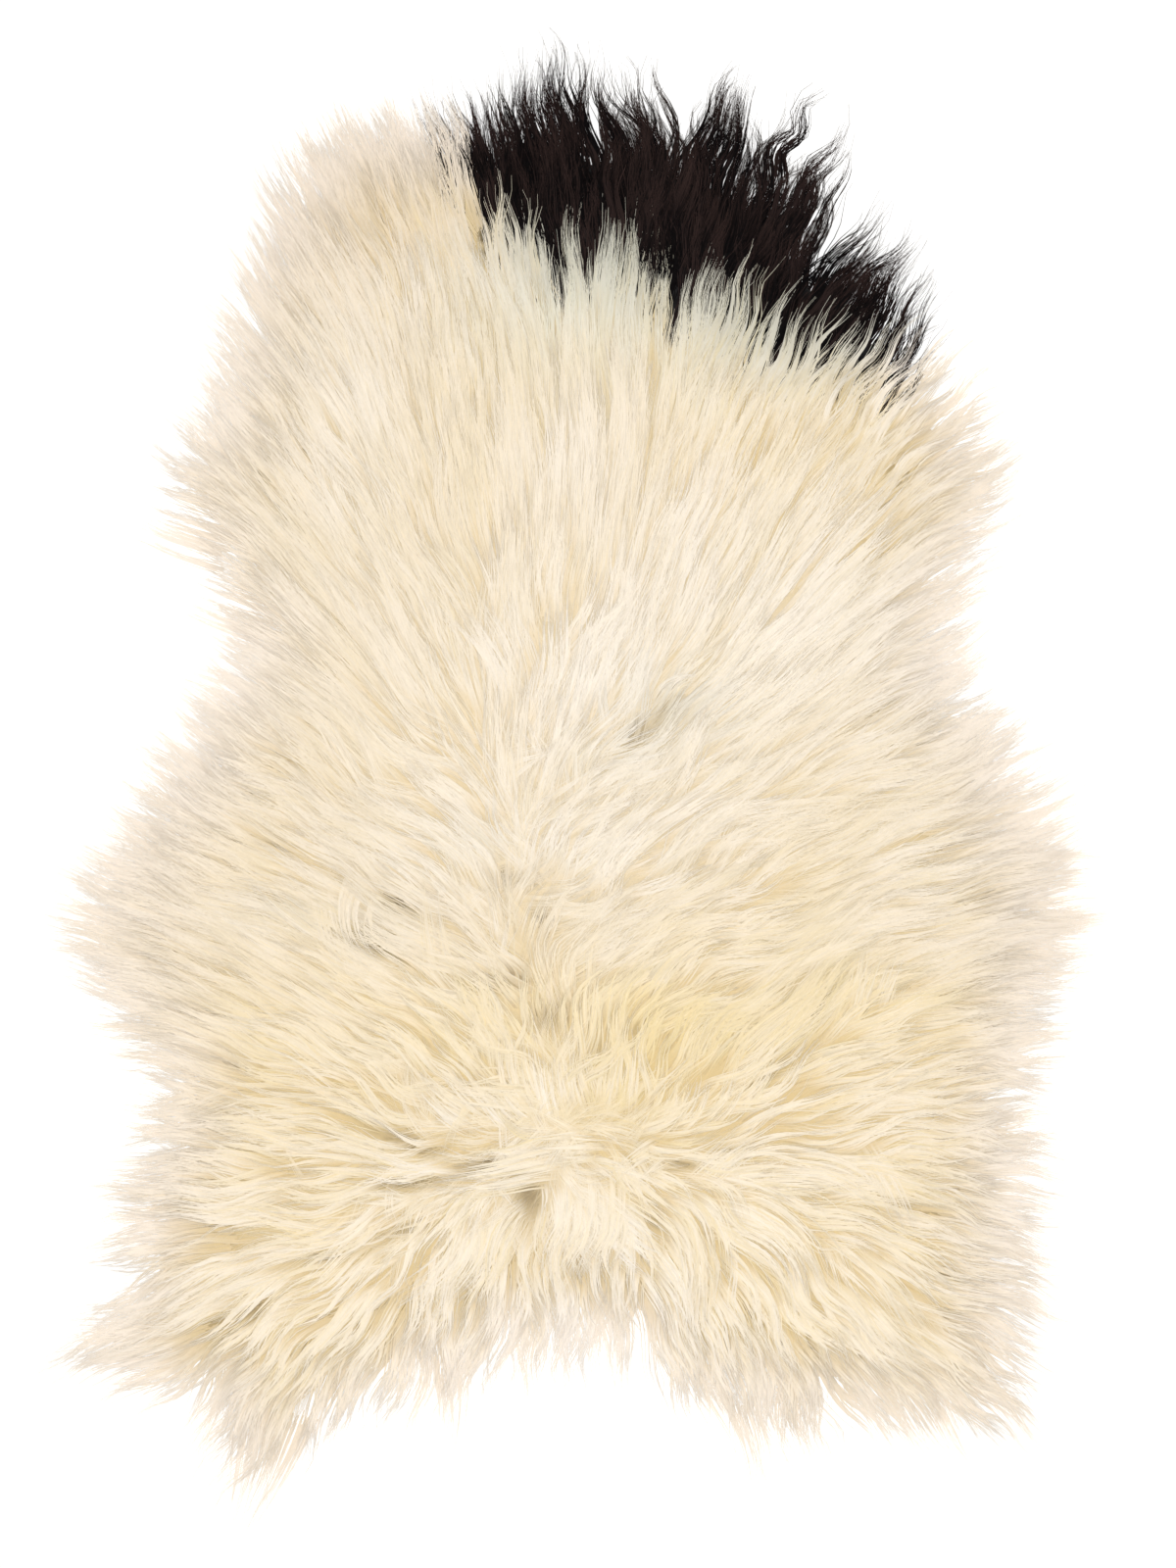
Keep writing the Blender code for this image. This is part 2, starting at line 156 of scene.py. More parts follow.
# The way the wool is combed at the rim and inside it, in millimetres and degrees from +X. In the
# names of places, L and R are the left and the right of the photo.
COMBING = (
    # place, x, y, heading
    ("nape L", -83, 505, 104),
    ("nape", 27, 528, 92),
    ("nape R", 128, 509, 80),
    ("neck R", 206, 454, 62),
    ("cheek R", 237, 384, 56),
    ("shoulder R", 300, 286, 38),
    ("elbow R", 321, 216, 18),
    ("waist R", 286, 103, 22),
    ("belly R", 339, 5, 32),
    ("flank R", 368, -80, 12),
    ("flank R low", 364, -158, 2),
    ("groin R", 346, -244, 2),
    ("haunch R", 348, -361, -14),
    ("haunch R low", 340, -455, -32),
    ("leg R", 331, -499, -45),
    ("rump R outer", 268, -494, -62),
    ("rump R", 167, -495, -78),
    ("rump R inner", 89, -464, -72),
    ("tail R", 42, -438, -82),
    ("tail L", -28, -425, -90),
    ("rump L", -106, -464, -96),
    ("rump L outer", -184, -490, -108),
    ("leg L", -246, -526, -108),
    ("leg L inner", -289, -478, -125),
    ("toe L", -352, -453, -165),
    ("toe L upper", -346, -400, -160),
    ("haunch L", -340, -314, -178),
    ("groin L", -317, -244, 178),
    ("flank L low", -356, -166, 168),
    ("flank L", -357, -96, 165),
    ("belly L", -309, 5, 145),
    ("waist L", -258, 95, 155),
    ("elbow L", -276, 158, 152),
    ("shoulder L", -315, 232, 150),
    ("shoulder L upper", -271, 294, 132),
    ("cheek L", -257, 372, 130),
    ("neck L", -223, 462, 122),
    ("nape L outer", -149, 509, 113),
    ("neck", 11, 349, 92),
    ("neck mid L", -106, 349, 105),
    ("cheek L in", -184, 271, 120),
    ("withers L", -223, 154, 128),
    ("withers", -67, 232, 98),
    ("withers, middle", 27, 193, 80),
    ("withers R", 128, 232, 67),
    ("shoulder R in", 206, 232, 55),
    ("ribs R", 245, 115, 38),
    ("back R", 128, 76, 45),
    ("back R inner", 50, 115, 60),
    ("back", -28, 115, 97),
    ("back L", -129, 115, 125),
    ("ribs L", -184, 37, 140),
    ("waist L in", -223, -41, 157),
    ("loin L", -106, -2, 145),
    ("loin", -20, -2, 62),
    ("loin, low", -24, -70, 34),
    ("loin mid L", -66, -50, 128),
    ("loin R", 50, -2, 30),
    ("belly R inner", 167, -41, 20),
    ("belly R in", 284, -41, 15),
    ("flank R in", 265, -119, 8),
    ("croup R", 128, -119, 10),
    ("croup", 11, -125, 32),
    ("croup mid L", -58, -130, 118),
    ("croup L", -106, -119, 165),
    ("flank L in", -240, -110, 158),
    ("flank L lower", -240, -197, 150),
    ("thigh L", -240, -275, 165),
    ("thigh L lower", -240, -338, 180),
    ("leg L upper", -230, -392, -155),
    ("leg L in", -225, -460, -122),
    ("tuft R", 205, -160, 58),
    ("tuft R inner", 150, -215, 58),
    ("thigh R upper", 250, -205, 25),
    ("haunch R in", 323, -236, 5),
    ("thigh R", 245, -275, 10),
    ("thigh R inner", 206, -314, -3),
    ("haunch R lower", 284, -353, -18),
    ("leg R upper", 245, -392, -40),
    ("leg R inner", 206, -431, -55),
    ("rump R upper", 167, -392, -60),
    ("rump, right of the tail", 89, -392, -75),
    ("tail", 11, -392, -90),
    ("tail mid L", -67, -353, -95),
    ("rump L inner", -106, -392, -115),
    ("rump L upper", -145, -353, -140),
    ("ridge L", -60, -299, -173),
    ("ridge R", 40, -299, -5),
    ("golden wool", 50, -230, 75),
    ("golden wool, L", -83, -221, 130),
    ("croup L low", -145, -236, 133),
    ("ridge L outer", -112, -299, 166),
)
COMBING_BLUR = 0.020
COMBING_POWER = 3.0

# How the wool grows: how much the tufts bend from side to side, in degrees, over what
# wavelength, how far the locks of a tuft draw together, how far the fibres of a lock do, how
# much tufts stray from the combing, in degrees, how long the locks are, and how far in from the
# wool's limit it starts to thin out and turn white.
GROWTH = (
    # place, x, y, bend, wavelength in mm, draw, closing, stray, length in mm, haze in mm
    ("neck", 10, 300, 5, 110, 0.12, 0.26, 5, 100, 80),
    ("nape L", -90, 450, 8, 90, 0.12, 0.45, 8, 112, 70),
    ("nape edge L", -40, 385, 14, 62, 0.45, 0.84, 9, 90, 60),
    ("nape edge", 50, 372, 15, 62, 0.50, 0.88, 10, 92, 60),
    ("nape edge R", 140, 325, 15, 62, 0.50, 0.86, 10, 94, 60),
    ("nape edge, outer", 215, 275, 14, 66, 0.40, 0.80, 8, 98, 60),
    ("nape", 60, 500, 18, 76, 0.92, 0.96, 13, 124, 80),
    ("nape R", 190, 440, 18, 76, 0.92, 0.96, 13, 124, 80),
    ("cheek L", -200, 330, 7, 100, 0.14, 0.28, 6, 104, 76),
    ("withers", 0, 200, 6, 110, 0.12, 0.26, 5, 104, 80),
    ("back L", -170, 80, 7, 90, 0.18, 0.28, 7, 104, 76),
    ("back R", 170, 90, 6, 100, 0.18, 0.30, 5, 110, 72),
    ("back", 0, 60, 8, 90, 0.12, 0.22, 22, 74, 70),
    ("loin", 0, -20, 9, 80, 0.12, 0.22, 42, 62, 70),
    ("loin L", -120, -110, 12, 80, 0.25, 0.38, 20, 84, 80),
    ("croup", 0, -130, 11, 70, 0.20, 0.30, 42, 62, 70),
    ("whorl", -6, -280, 20, 60, 0.20, 0.60, 60, 62, 60),
    ("flank L", -230, -120, 10, 90, 0.30, 0.50, 7, 112, 115),
    ("flank R", 230, -120, 9, 95, 0.30, 0.52, 6, 116, 78),
    ("golden wool", 30, -215, 20, 66, 0.35, 0.60, 16, 84, 60),
    ("thigh L", -200, -240, 14, 92, 0.50, 0.74, 8, 124, 98),
    ("thigh R", 180, -240, 16, 84, 0.50, 0.74, 9, 120, 80),
    ("ridge L", -70, -300, 18, 72, 0.45, 0.72, 12, 98, 60),
    ("ridge R", 60, -300, 18, 72, 0.45, 0.72, 12, 98, 60),
    ("tail", 0, -370, 18, 68, 0.35, 0.72, 8, 100, 50),
    ("rump R", 120, -360, 20, 74, 0.50, 0.76, 8, 118, 54),
    ("leg R", 260, -400, 14, 90, 0.46, 0.70, 7, 118, 76),
    ("leg L", -230, -420, 14, 94, 0.50, 0.72, 7, 124, 64),
    ("rump L", -120, -370, 17, 80, 0.48, 0.74, 8, 116, 56),
)

# Tufts that show by themselves. They start out along their heading, turn by their curl, and
# wave from side to side; all in millimetres and degrees.
FEATURES = (
    # place, x, y, heading, curl, wave, waves, length, width, draw, lift
    ("swirl", -148, -66, 212, 130, 0, 0, 84, 20, 0.35, 1.5),
    ("swirl, outer", -196, -57, 262, 50, 0, 0, 90, 16, 0.2, 1.2),
    ("across the hollow", -165, -137, 146, -6, 3, 1, 96, 14, 0.4, 1.6),
    ("across the hollow, low", -200, -147, 160, -15, 4, 1, 80, 12, 0.5, 1.4),
    ("croup left, upright", -95, -175, 103, -5, 4, 1, 100, 14, 0.3, 1.3),
    ("golden middle", 2, -282, 97, 12, 8, 1, 74, 46, 0.0, 0.9),
    ("golden middle, L", -20, -268, 118, -20, 8, 1, 70, 30, 0.2, 1.0),
    ("golden middle, R", 28, -276, 70, 26, 8, 1, 72, 30, 0.2, 0.9),
    ("under the ridge", 4, -292, 268, 0, 12, 1, 70, 60, 0.1, 0.8),
    ("golden arc 1", 50, -277, 15, 85, 0, 0, 56, 14, 0.3, 0.9),
    ("golden arc 2", 67, -275, 15, 80, 0, 0, 58, 12, 0.3, 0.9),
    ("golden arc 3", 89, -272, 18, 75, 0, 0, 60, 14, 0.3, 1.0),
    ("golden arc 4", 111, -261, 20, 55, 0, 0, 64, 12, 0.3, 1.1),
    ("golden arc left 1", -24, -278, 152, -40, 0, 0, 66, 18, 0.3, 1.1),
    ("golden arc left 2", -44, -270, 152, -38, 0, 0, 68, 16, 0.3, 1.2),
    ("golden arc left 3", -63, -275, 158, -35, 0, 0, 74, 18, 0.3, 1.2),
    ("croup right, bright", 115, -242, 47, -8, 5, 1, 105, 18, 0.35, 1.4),
    ("croup right, upright", 89, -236, 72, 0, 6, 1, 60, 12, 0.3, 1.2),
    ("ridge", 17, -294, 184, 10, 5, 1, 120, 26, 0.45, 1.5),
    ("ridge, hook", 81, -288, 185, 55, 0, 0, 50, 16, 0.3, 1.3),
    ("ridge, over the parting", 30, -286, 176, 14, 0, 0, 70, 16, 0.2, 1.4),
    ("ridge R", 85, -325, 42, -6, 6, 1, 80, 16, 0.3, 1.3),
    ("under the ridge 1", -14, -307, 264, 8, 30, 1.3, 92, 12, 0.3, 1.15),
    ("under the ridge 2", -5, -306, 264, 8, 34, 1.3, 94, 12, 0.3, 1.2),
    ("under the ridge 3", 12, -307, 266, 6, 32, 1.25, 92, 12, 0.3, 1.2),
    ("under the ridge 4", 28, -311, 268, 6, 30, 1.25, 90, 12, 0.3, 1.15),
    ("left of the parting", -60, -314, 258, -32, 10, 1, 110, 18, 0.3, 1.3),
    ("left of the parting, outer", -67, -318, 245, -30, 8, 1, 110, 20, 0.3, 1.2),
    ("tail hook", 24, -349, 0, -55, 12, 1.5, 52, 16, 0.3, 1.3),
    ("tail hook, low", 20, -363, 358, -60, 12, 1.5, 50, 14, 0.3, 1.25),
    ("rump curve", 85, -348, 14, -100, 6, 1, 120, 26, 0.35, 1.4),
    ("rump curve, upper", 101, -334, 5, -85, 6, 1, 125, 20, 0.3, 1.35),
    ("thigh strand 1", 89, -321, 12, -15, 8, 1, 110, 14, 0.4, 1.3),
    ("thigh strand 2", 124, -317, 5, -10, 8, 1, 100, 12, 0.4, 1.3),
    ("thigh curve", 136, -310, 24, -92, 6, 1, 120, 22, 0.3, 1.4),
    ("fan", 224, -192, 80, -12, 0, 0, 60, 30, -0.3, 1.3),
    ("flank right, long", 124, -224, 38, -4, 4, 1, 108, 26, 0.3, 1.35),
    ("flank R outer", 202, -217, 20, -6, 4, 1, 80, 18, 0.4, 1.3),
    ("thigh arch", 167, -248, 55, -78, 0, 0, 100, 16, 0.3, 1.5),
    ("thigh straight", 214, -266, -58, -8, 2, 1, 96, 14, 0.4, 1.6),
    ("leg right, golden", 183, -406, -44, 28, 6, 1, 110, 26, 0.4, 1.2),
    ("toe", -309, -455, 200, 0, 18, 1, 75, 9, 0.6, 0.8),
    ("back hollow arc", 67, 58, 85, -110, 0, 0, 42, 9, 0.2, 1.1),
    ("nape curl", 159, 473, 62, 0, 40, 2.2, 92, 4, 0.8, 0.9),
    ("left of the dark wool", -84, 384, 99, 2, 5, 1, 104, 26, 0.2, 1.1),
    ("left end of the dark wool", -68, 424, 98, 6, 8, 1, 104, 26, 0.3, 1.4),
    ("shoulder L low", -264, 196, 160, 0, 4, 1, 84, 70, 0.1, 0.7),
    ("waist L upper", -224, 138, 158, 0, 4, 1, 84, 76, 0.0, 0.8),
    ("leg left, tip", -230, -492, 247, 6, 4, 1, 104, 52, 0.88, 0.6),
    ("flank right, tip", 358, -95, 10, -4, 5, 1, 66, 60, 0.2, 0.5),
    ("wisp left of the tail", -100, -462, 266, 8, 8, 1, 80, 16, 0.7, 0.5),
    ("wisp right of the tail", 128, -484, 280, 6, 8, 1, 84, 14, 0.8, 0.5),
)

# Where the wool parts, so that the lower wool shows, painted browner there for its own browner deep
# wool and for shade; in millimetres and degrees.
HOLLOWS = (
    # place, x, y, radius across, radius along, turned by, strength
    ("parting", -35, -324, 12, 20, 0, 1.0),
    ("above the ridge", -60, -299, 28, 5, 6, 1.0),
    ("left of the ridge", -128, -314, 30, 5, 4, 0.90),
    ("thigh L", -129, -282, 26, 5, -22, 0.75),
    ("thigh L upper", -160, -262, 20, 4, -30, 0.60),
    ("rump L", -133, -352, 28, 4, 12, 0.60),
    ("rump L outer", -190, -372, 24, 4, 10, 0.60),
    ("leg L", -250, -417, 9, 11, 0, 0.85),
    ("loin L", -139, -97, 16, 6, -10, 0.85),
    ("loin L low", -159, -128, 28, 8, -12, 0.80),
    ("loin mid L", -46, -77, 13, 5, 0, 0.70),
    ("loin", -23, -108, 6, 14, 0, 0.60),
    ("croup L", -58, -158, 19, 5, 0, 0.75),
    ("croup", -19, -184, 15, 9, 20, 0.75),
    ("golden wool", 49, -195, 20, 4, 0, 0.45),
    ("thigh R", 150, -232, 22, 4, 35, 0.60),
    ("thigh R upper", 190, -178, 14, 5, 50, 0.60),
    ("ridge R", 100, -298, 30, 4, 12, 0.75),
    ("rump R", 62, -342, 14, 4, -50, 0.60),
    ("back", 50, 38, 10, 6, 30, 0.75),
    ("back, R", 70, 50, 14, 6, 60, 0.50),
    ("side L", -232, -46, 9, 8, 0, 0.60),
)
HOLLOW_DEPTH = 0.5  # of the underwool's height
HOLLOW_SINK = 0.024  # how much lower the locks lie that fill a hollow

# The dark wool is rooted on the nape side of this line, in millimetres.
DARK_ROOTS = (
    (-78, 440), (-66, 396), (-30, 366), (42, 350), (112, 314), (167, 292), (222, 290), (262, 322),
    (285, 410),
)
DARK_EDGE_BLUR = 10.0
DARK_END_BLUR = 32.0  # more than that at the right end, where cream locks are mixed in
DARK_UNDERWOOL_FROM = 8.0

# ---- the colours ----
CREAM = (0.765, 0.675, 0.535)
BRIGHT = (0.885, 0.800, 0.650)
PALE = (0.835, 0.785, 0.715)
GOLD = (0.760, 0.610, 0.290)
TAN = (0.670, 0.540, 0.380)
COOL = (0.640, 0.645, 0.560)
GREY = (0.400, 0.410, 0.360)
BROWN = (0.300, 0.225, 0.125)
# painted shade of the gaps between the locks, and the yellower deep wool
CREVICE_YELLOW_AND_SHADE = (0.620, 0.465, 0.215)
RIM_WHITE = (0.860, 0.785, 0.710)
BLACK = (0.0022, 0.0016, 0.0018)
DARK_TIP_AND_SHEEN = (0.044, 0.026, 0.023)
WOOL_SHADE = 0.92  # all but the dark wool, for the lamp
# Patches of another shade: the wool rooted there takes on the colour, by its strength. The grey
# ones at the hollows are painted shade.
TINTS = (
    # place, x, y, radius across, radius along, colour, strength
    ("hind part", 0, -400, 420, 150, BRIGHT, 0.55),
    ("back R", 160, 80, 110, 90, PALE, 0.45),
    ("below the dark wool", 5, 322, 80, 44, COOL, 0.75),
    ("below the dark wool, R", 100, 285, 60, 34, COOL, 0.40),
    ("neck L", -165, 440, 110, 100, TAN, 0.65),
    ("withers", 0, 215, 190, 90, PALE, 0.10),
    ("back", 15, 20, 120, 120, PALE, 0.55),
    # The grey patches at the hollows are painted shade.
    ("back hollow", 58, 28, 28, 22, GREY, 0.30),
    ("loin hollow", 16, 12, 20, 14, GREY, 0.15),
    ("loin left hollow, low", -155, -130, 46, 12, GREY, 0.18),
    ("loin hollow, L", -58, -76, 18, 10, GREY, 0.18),
    ("left of the dark wool", -74, 452, 20, 46, BROWN, 0.50),
    ("golden wool", 50, -226, 74, 42, GOLD, 0.70),
    ("golden wool, L", -70, -225, 70, 50, GOLD, 0.28),
    ("thigh R", 200, -205, 60, 36, GOLD, 0.30),
    ("thigh L", -230, -240, 90, 60, GOLD, 0.22),
    ("ridge", -40, -290, 60, 16, PALE, 0.60),
    ("tail", 10, -380, 90, 50, PALE, 0.80),
    ("rump R", 105, -445, 40, 30, GOLD, 0.35),
    ("leg R", 255, -450, 42, 30, GOLD, 0.40),
)


def direction(radians):
    return np.stack([np.cos(radians), np.sin(radians)], axis=-1)


def turned(headings, radians):
    """The headings, each turned anticlockwise."""
    c, s = np.cos(radians), np.sin(radians)
    x, y = headings[..., 0], headings[..., 1]
    return np.stack([c * x - s * y, s * x + c * y], axis=-1)


def unit(vectors):
    return vectors / np.maximum(np.linalg.norm(vectors, axis=-1, keepdims=True), 1e-9)


def smooth(share):
    share = np.clip(share, 0.0, 1.0)
    return share * share * (3.0 - 2.0 * share)


def table_place(x, y):
    """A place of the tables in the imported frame, in metres."""
    return np.array([x - TABLES_MIDDLE[0], y - TABLES_MIDDLE[1]]) * MM


def in_tables(places):
    """Across and along, in the tables' millimetres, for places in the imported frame."""
    return places[..., 0] / MM + TABLES_MIDDLE[0], places[..., 1] / MM + TABLES_MIDDLE[1]


# ---- the fields over the floor ----


class Ground:
    """A grid over the floor under the rug, and what is known at each of its points."""

    def __init__(self, node, rng):
        low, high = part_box(node)
        self.low = np.array([low.x, low.y]) - GRID_MARGIN
        size = np.array([high.x, high.y]) + GRID_MARGIN - self.low
        columns, rows = (np.ceil(size / GRID_PITCH).astype(int) + 1).tolist()
        xs = self.low[0] + GRID_PITCH * np.arange(columns)
        ys = self.low[1] + GRID_PITCH * np.arange(rows)
        self.points = np.stack(np.meshgrid(xs, ys), axis=-1)
        solid = self.solid_top(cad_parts[node])
        covered = (solid > 0.0).astype(float)
        self.heading = self.combing()
        (
            self.bend, self.wavelength, self.draw, self.closing, self.stray, self.length, self.haze,
        ) = self.growth()
        soft = self.signed_distance(self.blurred(covered, SOFT_BLUR) > SOFT_SHARE)
        sharp = self.signed_distance(covered > 0.0)
        self.rim = sharp + RIM_FROM_SOFT * (1.0 - self.draw) * (soft - sharp)
        self.core = self.signed_distance(self.blurred(covered, CORE_BLUR) > CORE_SHARE)
        self.core += SPIKES_DEPTH * smooth((self.draw - 0.5) / 0.3)
        self.top = self.blurred(solid, HEIGHT_BLUR)
        self.whiteness = smooth(1.0 + self.rim / self.haze)
        self.hollow = self.hollows()
        self.bed = UNDERWOOL_SHARE * self.top * (1.0 - HOLLOW_DEPTH * self.hollow)
        self.bed *= smooth((UNDERWOOL_EDGE - self.core) / UNDERWOOL_SLOPE)
        self.warm = self.noise(0.070, rng)
        self.ragged = self.noise(0.008, rng)

    def solid_top(self, node):
        """The height of the solid over each point, and 0 beside it."""
        mesh = node.data
        corners = [vertex.co for vertex in mesh.vertices]
        tree = BVHTree.FromPolygons(corners, [face.vertices for face in mesh.polygons])
        down = Vector((0.0, 0.0, -1.0))
        tops = np.zeros(self.points.shape[:2])
        for row, column in np.ndindex(tops.shape):
            x, y = self.points[row, column]
            hit = tree.ray_cast(Vector((x, y, 1.0)), down)[0]
            if hit is not None:
                tops[row, column] = hit.z
        return tops

    def blurred(self, field, radius):
        steps = math.ceil(2.5 * radius / GRID_PITCH)
        weights = np.exp(-0.5 * (np.arange(-steps, steps + 1) * GRID_PITCH / radius) ** 2)
        weights /= weights.sum()
        for axis in (0, 1):
            field = sum(
                weight * np.roll(field, shift - steps, axis=axis)
                for shift, weight in enumerate(weights)
            )
        return field

    def distance(self, mask):
        """How far each point lies from the mask, up to REACH."""
        steps = math.ceil(REACH / GRID_PITCH)
        shifts = range(-steps, steps + 1)
        squared = np.where(mask, 0.0, 1e9)
        for axis in (1, 0):
            squared = np.min(
                [np.roll(squared, shift, axis=axis) + shift * shift for shift in shifts], axis=0
            )
        return np.minimum(np.sqrt(squared) * GRID_PITCH, REACH)

    def signed_distance(self, mask):
        """Metres outside the mask's edge, less than 0 inside it."""
        return self.distance(mask) - self.distance(~mask)

    def weights(self, x, y):
        away = np.linalg.norm(self.points - table_place(x, y), axis=-1)
        return (away + COMBING_BLUR) ** -COMBING_POWER

    def combing(self):
        total = np.zeros(self.points.shape)
        for _, x, y, heading in COMBING:
            total += self.weights(x, y)[..., None] * direction(math.radians(heading))
        return unit(total)

    def growth(self):
        total = np.zeros(self.points.shape[:2])
        sums = np.zeros((7, *self.points.shape[:2]))
        for _, x, y, *values in GROWTH:
            weight = self.weights(x, y)
            total += weight
            sums += weight * np.array(values)[:, None, None]
        bend, wavelength, draw, closing, stray, length, haze = sums / total
        lengths = wavelength * MM, length * MM, haze * MM
        return np.radians(bend), lengths[0], draw, closing, np.radians(stray), *lengths[1:]

    def hollows(self):
        """A hollow's strength in its middle, 0 away from it."""
        deepest = np.zeros(self.points.shape[:2])
        for _, x, y, across, along, turn, strength in HOLLOWS:
            away = turned(self.points - table_place(x, y), -math.radians(turn))
            away = away / (np.array([across, along]) * MM)
            deepest = np.maximum(deepest, strength * np.exp(-(away**2).sum(axis=-1)))
        return deepest

    def noise(self, pitch, rng):
        """A soft random field from -1 to 1 whose lumps are about a pitch wide."""
        places = (self.points - self.low) / pitch
        cells = np.floor(places).astype(int)
        lattice = rng.uniform(-1.0, 1.0, cells.max(axis=(0, 1))[::-1] + 2)
        return between(lattice, cells, smooth(places - cells))

    def at(self, field, places):
        """The field at any places, read between the grid's points."""
        spots = (places - self.low) / GRID_PITCH
        spots = np.clip(spots, 0.0, np.array(self.points.shape[1::-1]) - 1.001)
        cells = spots.astype(int)
        return between(field, cells, spots - cells)


def between(field, corner, share):
    """The field's values, by their share of a cell across and up from the cell's low corner."""
    column, row = corner[..., 0], corner[..., 1]
    right, up = share[..., 0], share[..., 1]
    if field.ndim == 3:
        right, up = right[..., None], up[..., None]
    low = field[row, column] * (1 - right) + field[row, column + 1] * right
    high = field[row + 1, column] * (1 - right) + field[row + 1, column + 1] * right
    return low * (1 - up) + high * up


def scattered(ground, pitch, edge, rng):
    """Places on a loosened hexagonal grid over the dense wool, as far out as the edge."""
    high = ground.points[-1, -1]
    row_pitch = pitch * math.sqrt(0.75)
    rows = math.ceil((high[1] - ground.low[1]) / row_pitch)
    columns = math.ceil((high[0] - ground.low[0]) / pitch)
    column, row = np.meshgrid(np.arange(columns), np.arange(rows))
    x = ground.low[0] + pitch * (column + 0.5 * (row % 2))
    y = ground.low[1] + row_pitch * row
    places = np.stack([x, y], axis=-1).reshape(-1, 2)
    places += rng.uniform(-0.42, 0.42, places.shape) * pitch
    return places[ground.at(ground.core, places) < edge]


def rim_line(ground, level, pitch):
    """Even places on the line that lies as far outside the edge of the dense wool as the level."""
    rays = direction(np.linspace(0.0, 2.0 * np.pi, 1440, endpoint=False))
    radii = np.arange(0.70, 0.05, -0.0005)
    places = np.array(RIM_CENTRE) + radii[:, None, None] * rays[None]
    first = (ground.at(ground.core, places) < level).argmax(axis=0)
    line = places[first, np.arange(len(rays))]
    line = np.concatenate([line, line[:1]])
    along = np.concatenate([[0.0], np.cumsum(np.linalg.norm(np.diff(line, axis=0), axis=-1))])
    spots = np.linspace(0.0, along[-1], round(along[-1] / pitch), endpoint=False)
    return np.stack([np.interp(spots, along, line[:, axis]) for axis in (0, 1)], axis=-1)


# ---- tufts and locks ----


def resampled(lines, shares):
    """Places on the lines at the shares, from 0 at each line's root to 1 at its end."""
    spots = shares * (lines.shape[1] - 1.0)
    cell = np.minimum(spots.astype(int), lines.shape[1] - 2)
    part = (spots - cell)[..., None]
    row = np.arange(len(lines))[:, None]
    return lines[row, cell] * (1.0 - part) + lines[row, cell + 1] * part


def grow_lines(ground, roots, lengths, bends, wavelengths, turns, phases):
    """Lines from the roots, along the combing, with their waves."""
    lines = np.empty((len(roots), LINE_STEPS + 1, 2))
    lines[:, 0] = roots
    step = lengths / LINE_STEPS
    for index in range(LINE_STEPS):
        place = lines[:, index]
        wave = np.sin(phases + 2.0 * np.pi * index * step / wavelengths)
        turn = turns * (1.0 - 0.8 * index / LINE_STEPS) + bends * wave
        heading = turned(ground.at(ground.heading, place), turn)
        lines[:, index + 1] = place + heading * step[:, None]
    return lines


def make_tufts(ground, rng):
    """The tufts: roots, a middle line each, and what their locks share."""
    roots = scattered(ground, TUFT_PITCH, ROOTS_EDGE, rng)
    count = len(roots)
    tufts = {
        "roots": roots,
        "bend": ground.at(ground.bend, roots) * rng.uniform(0.6, 1.4, count),
        "wavelength": ground.at(ground.wavelength, roots) * rng.uniform(0.8, 1.25, count),
        "phase": rng.uniform(0.0, 2.0 * np.pi, count),
        "turn": ground.at(ground.stray, roots) * rng.normal(0.0, 0.6, count),
        "lift": 1.0 + (0.10 + 0.70 * ground.at(ground.closing, roots)) * rng.uniform(-1, 1, count),
        "short": TUFT_SHORT * rng.exponential(1.0, count),
        "shade": rng.normal(0.0, 1.0, count),
    }
    lengths = ground.at(ground.length, roots) * LINE_SPARE
    shared = (tufts[name] for name in ("bend", "wavelength", "turn", "phase"))
    lines = grow_lines(ground, roots, lengths, *shared)
    spill = MAX_SPILL - tufts["short"] * ground.at(ground.haze, roots)
    tufts["lines"] = fitted(ground, lines, spill)[0]
    return tufts


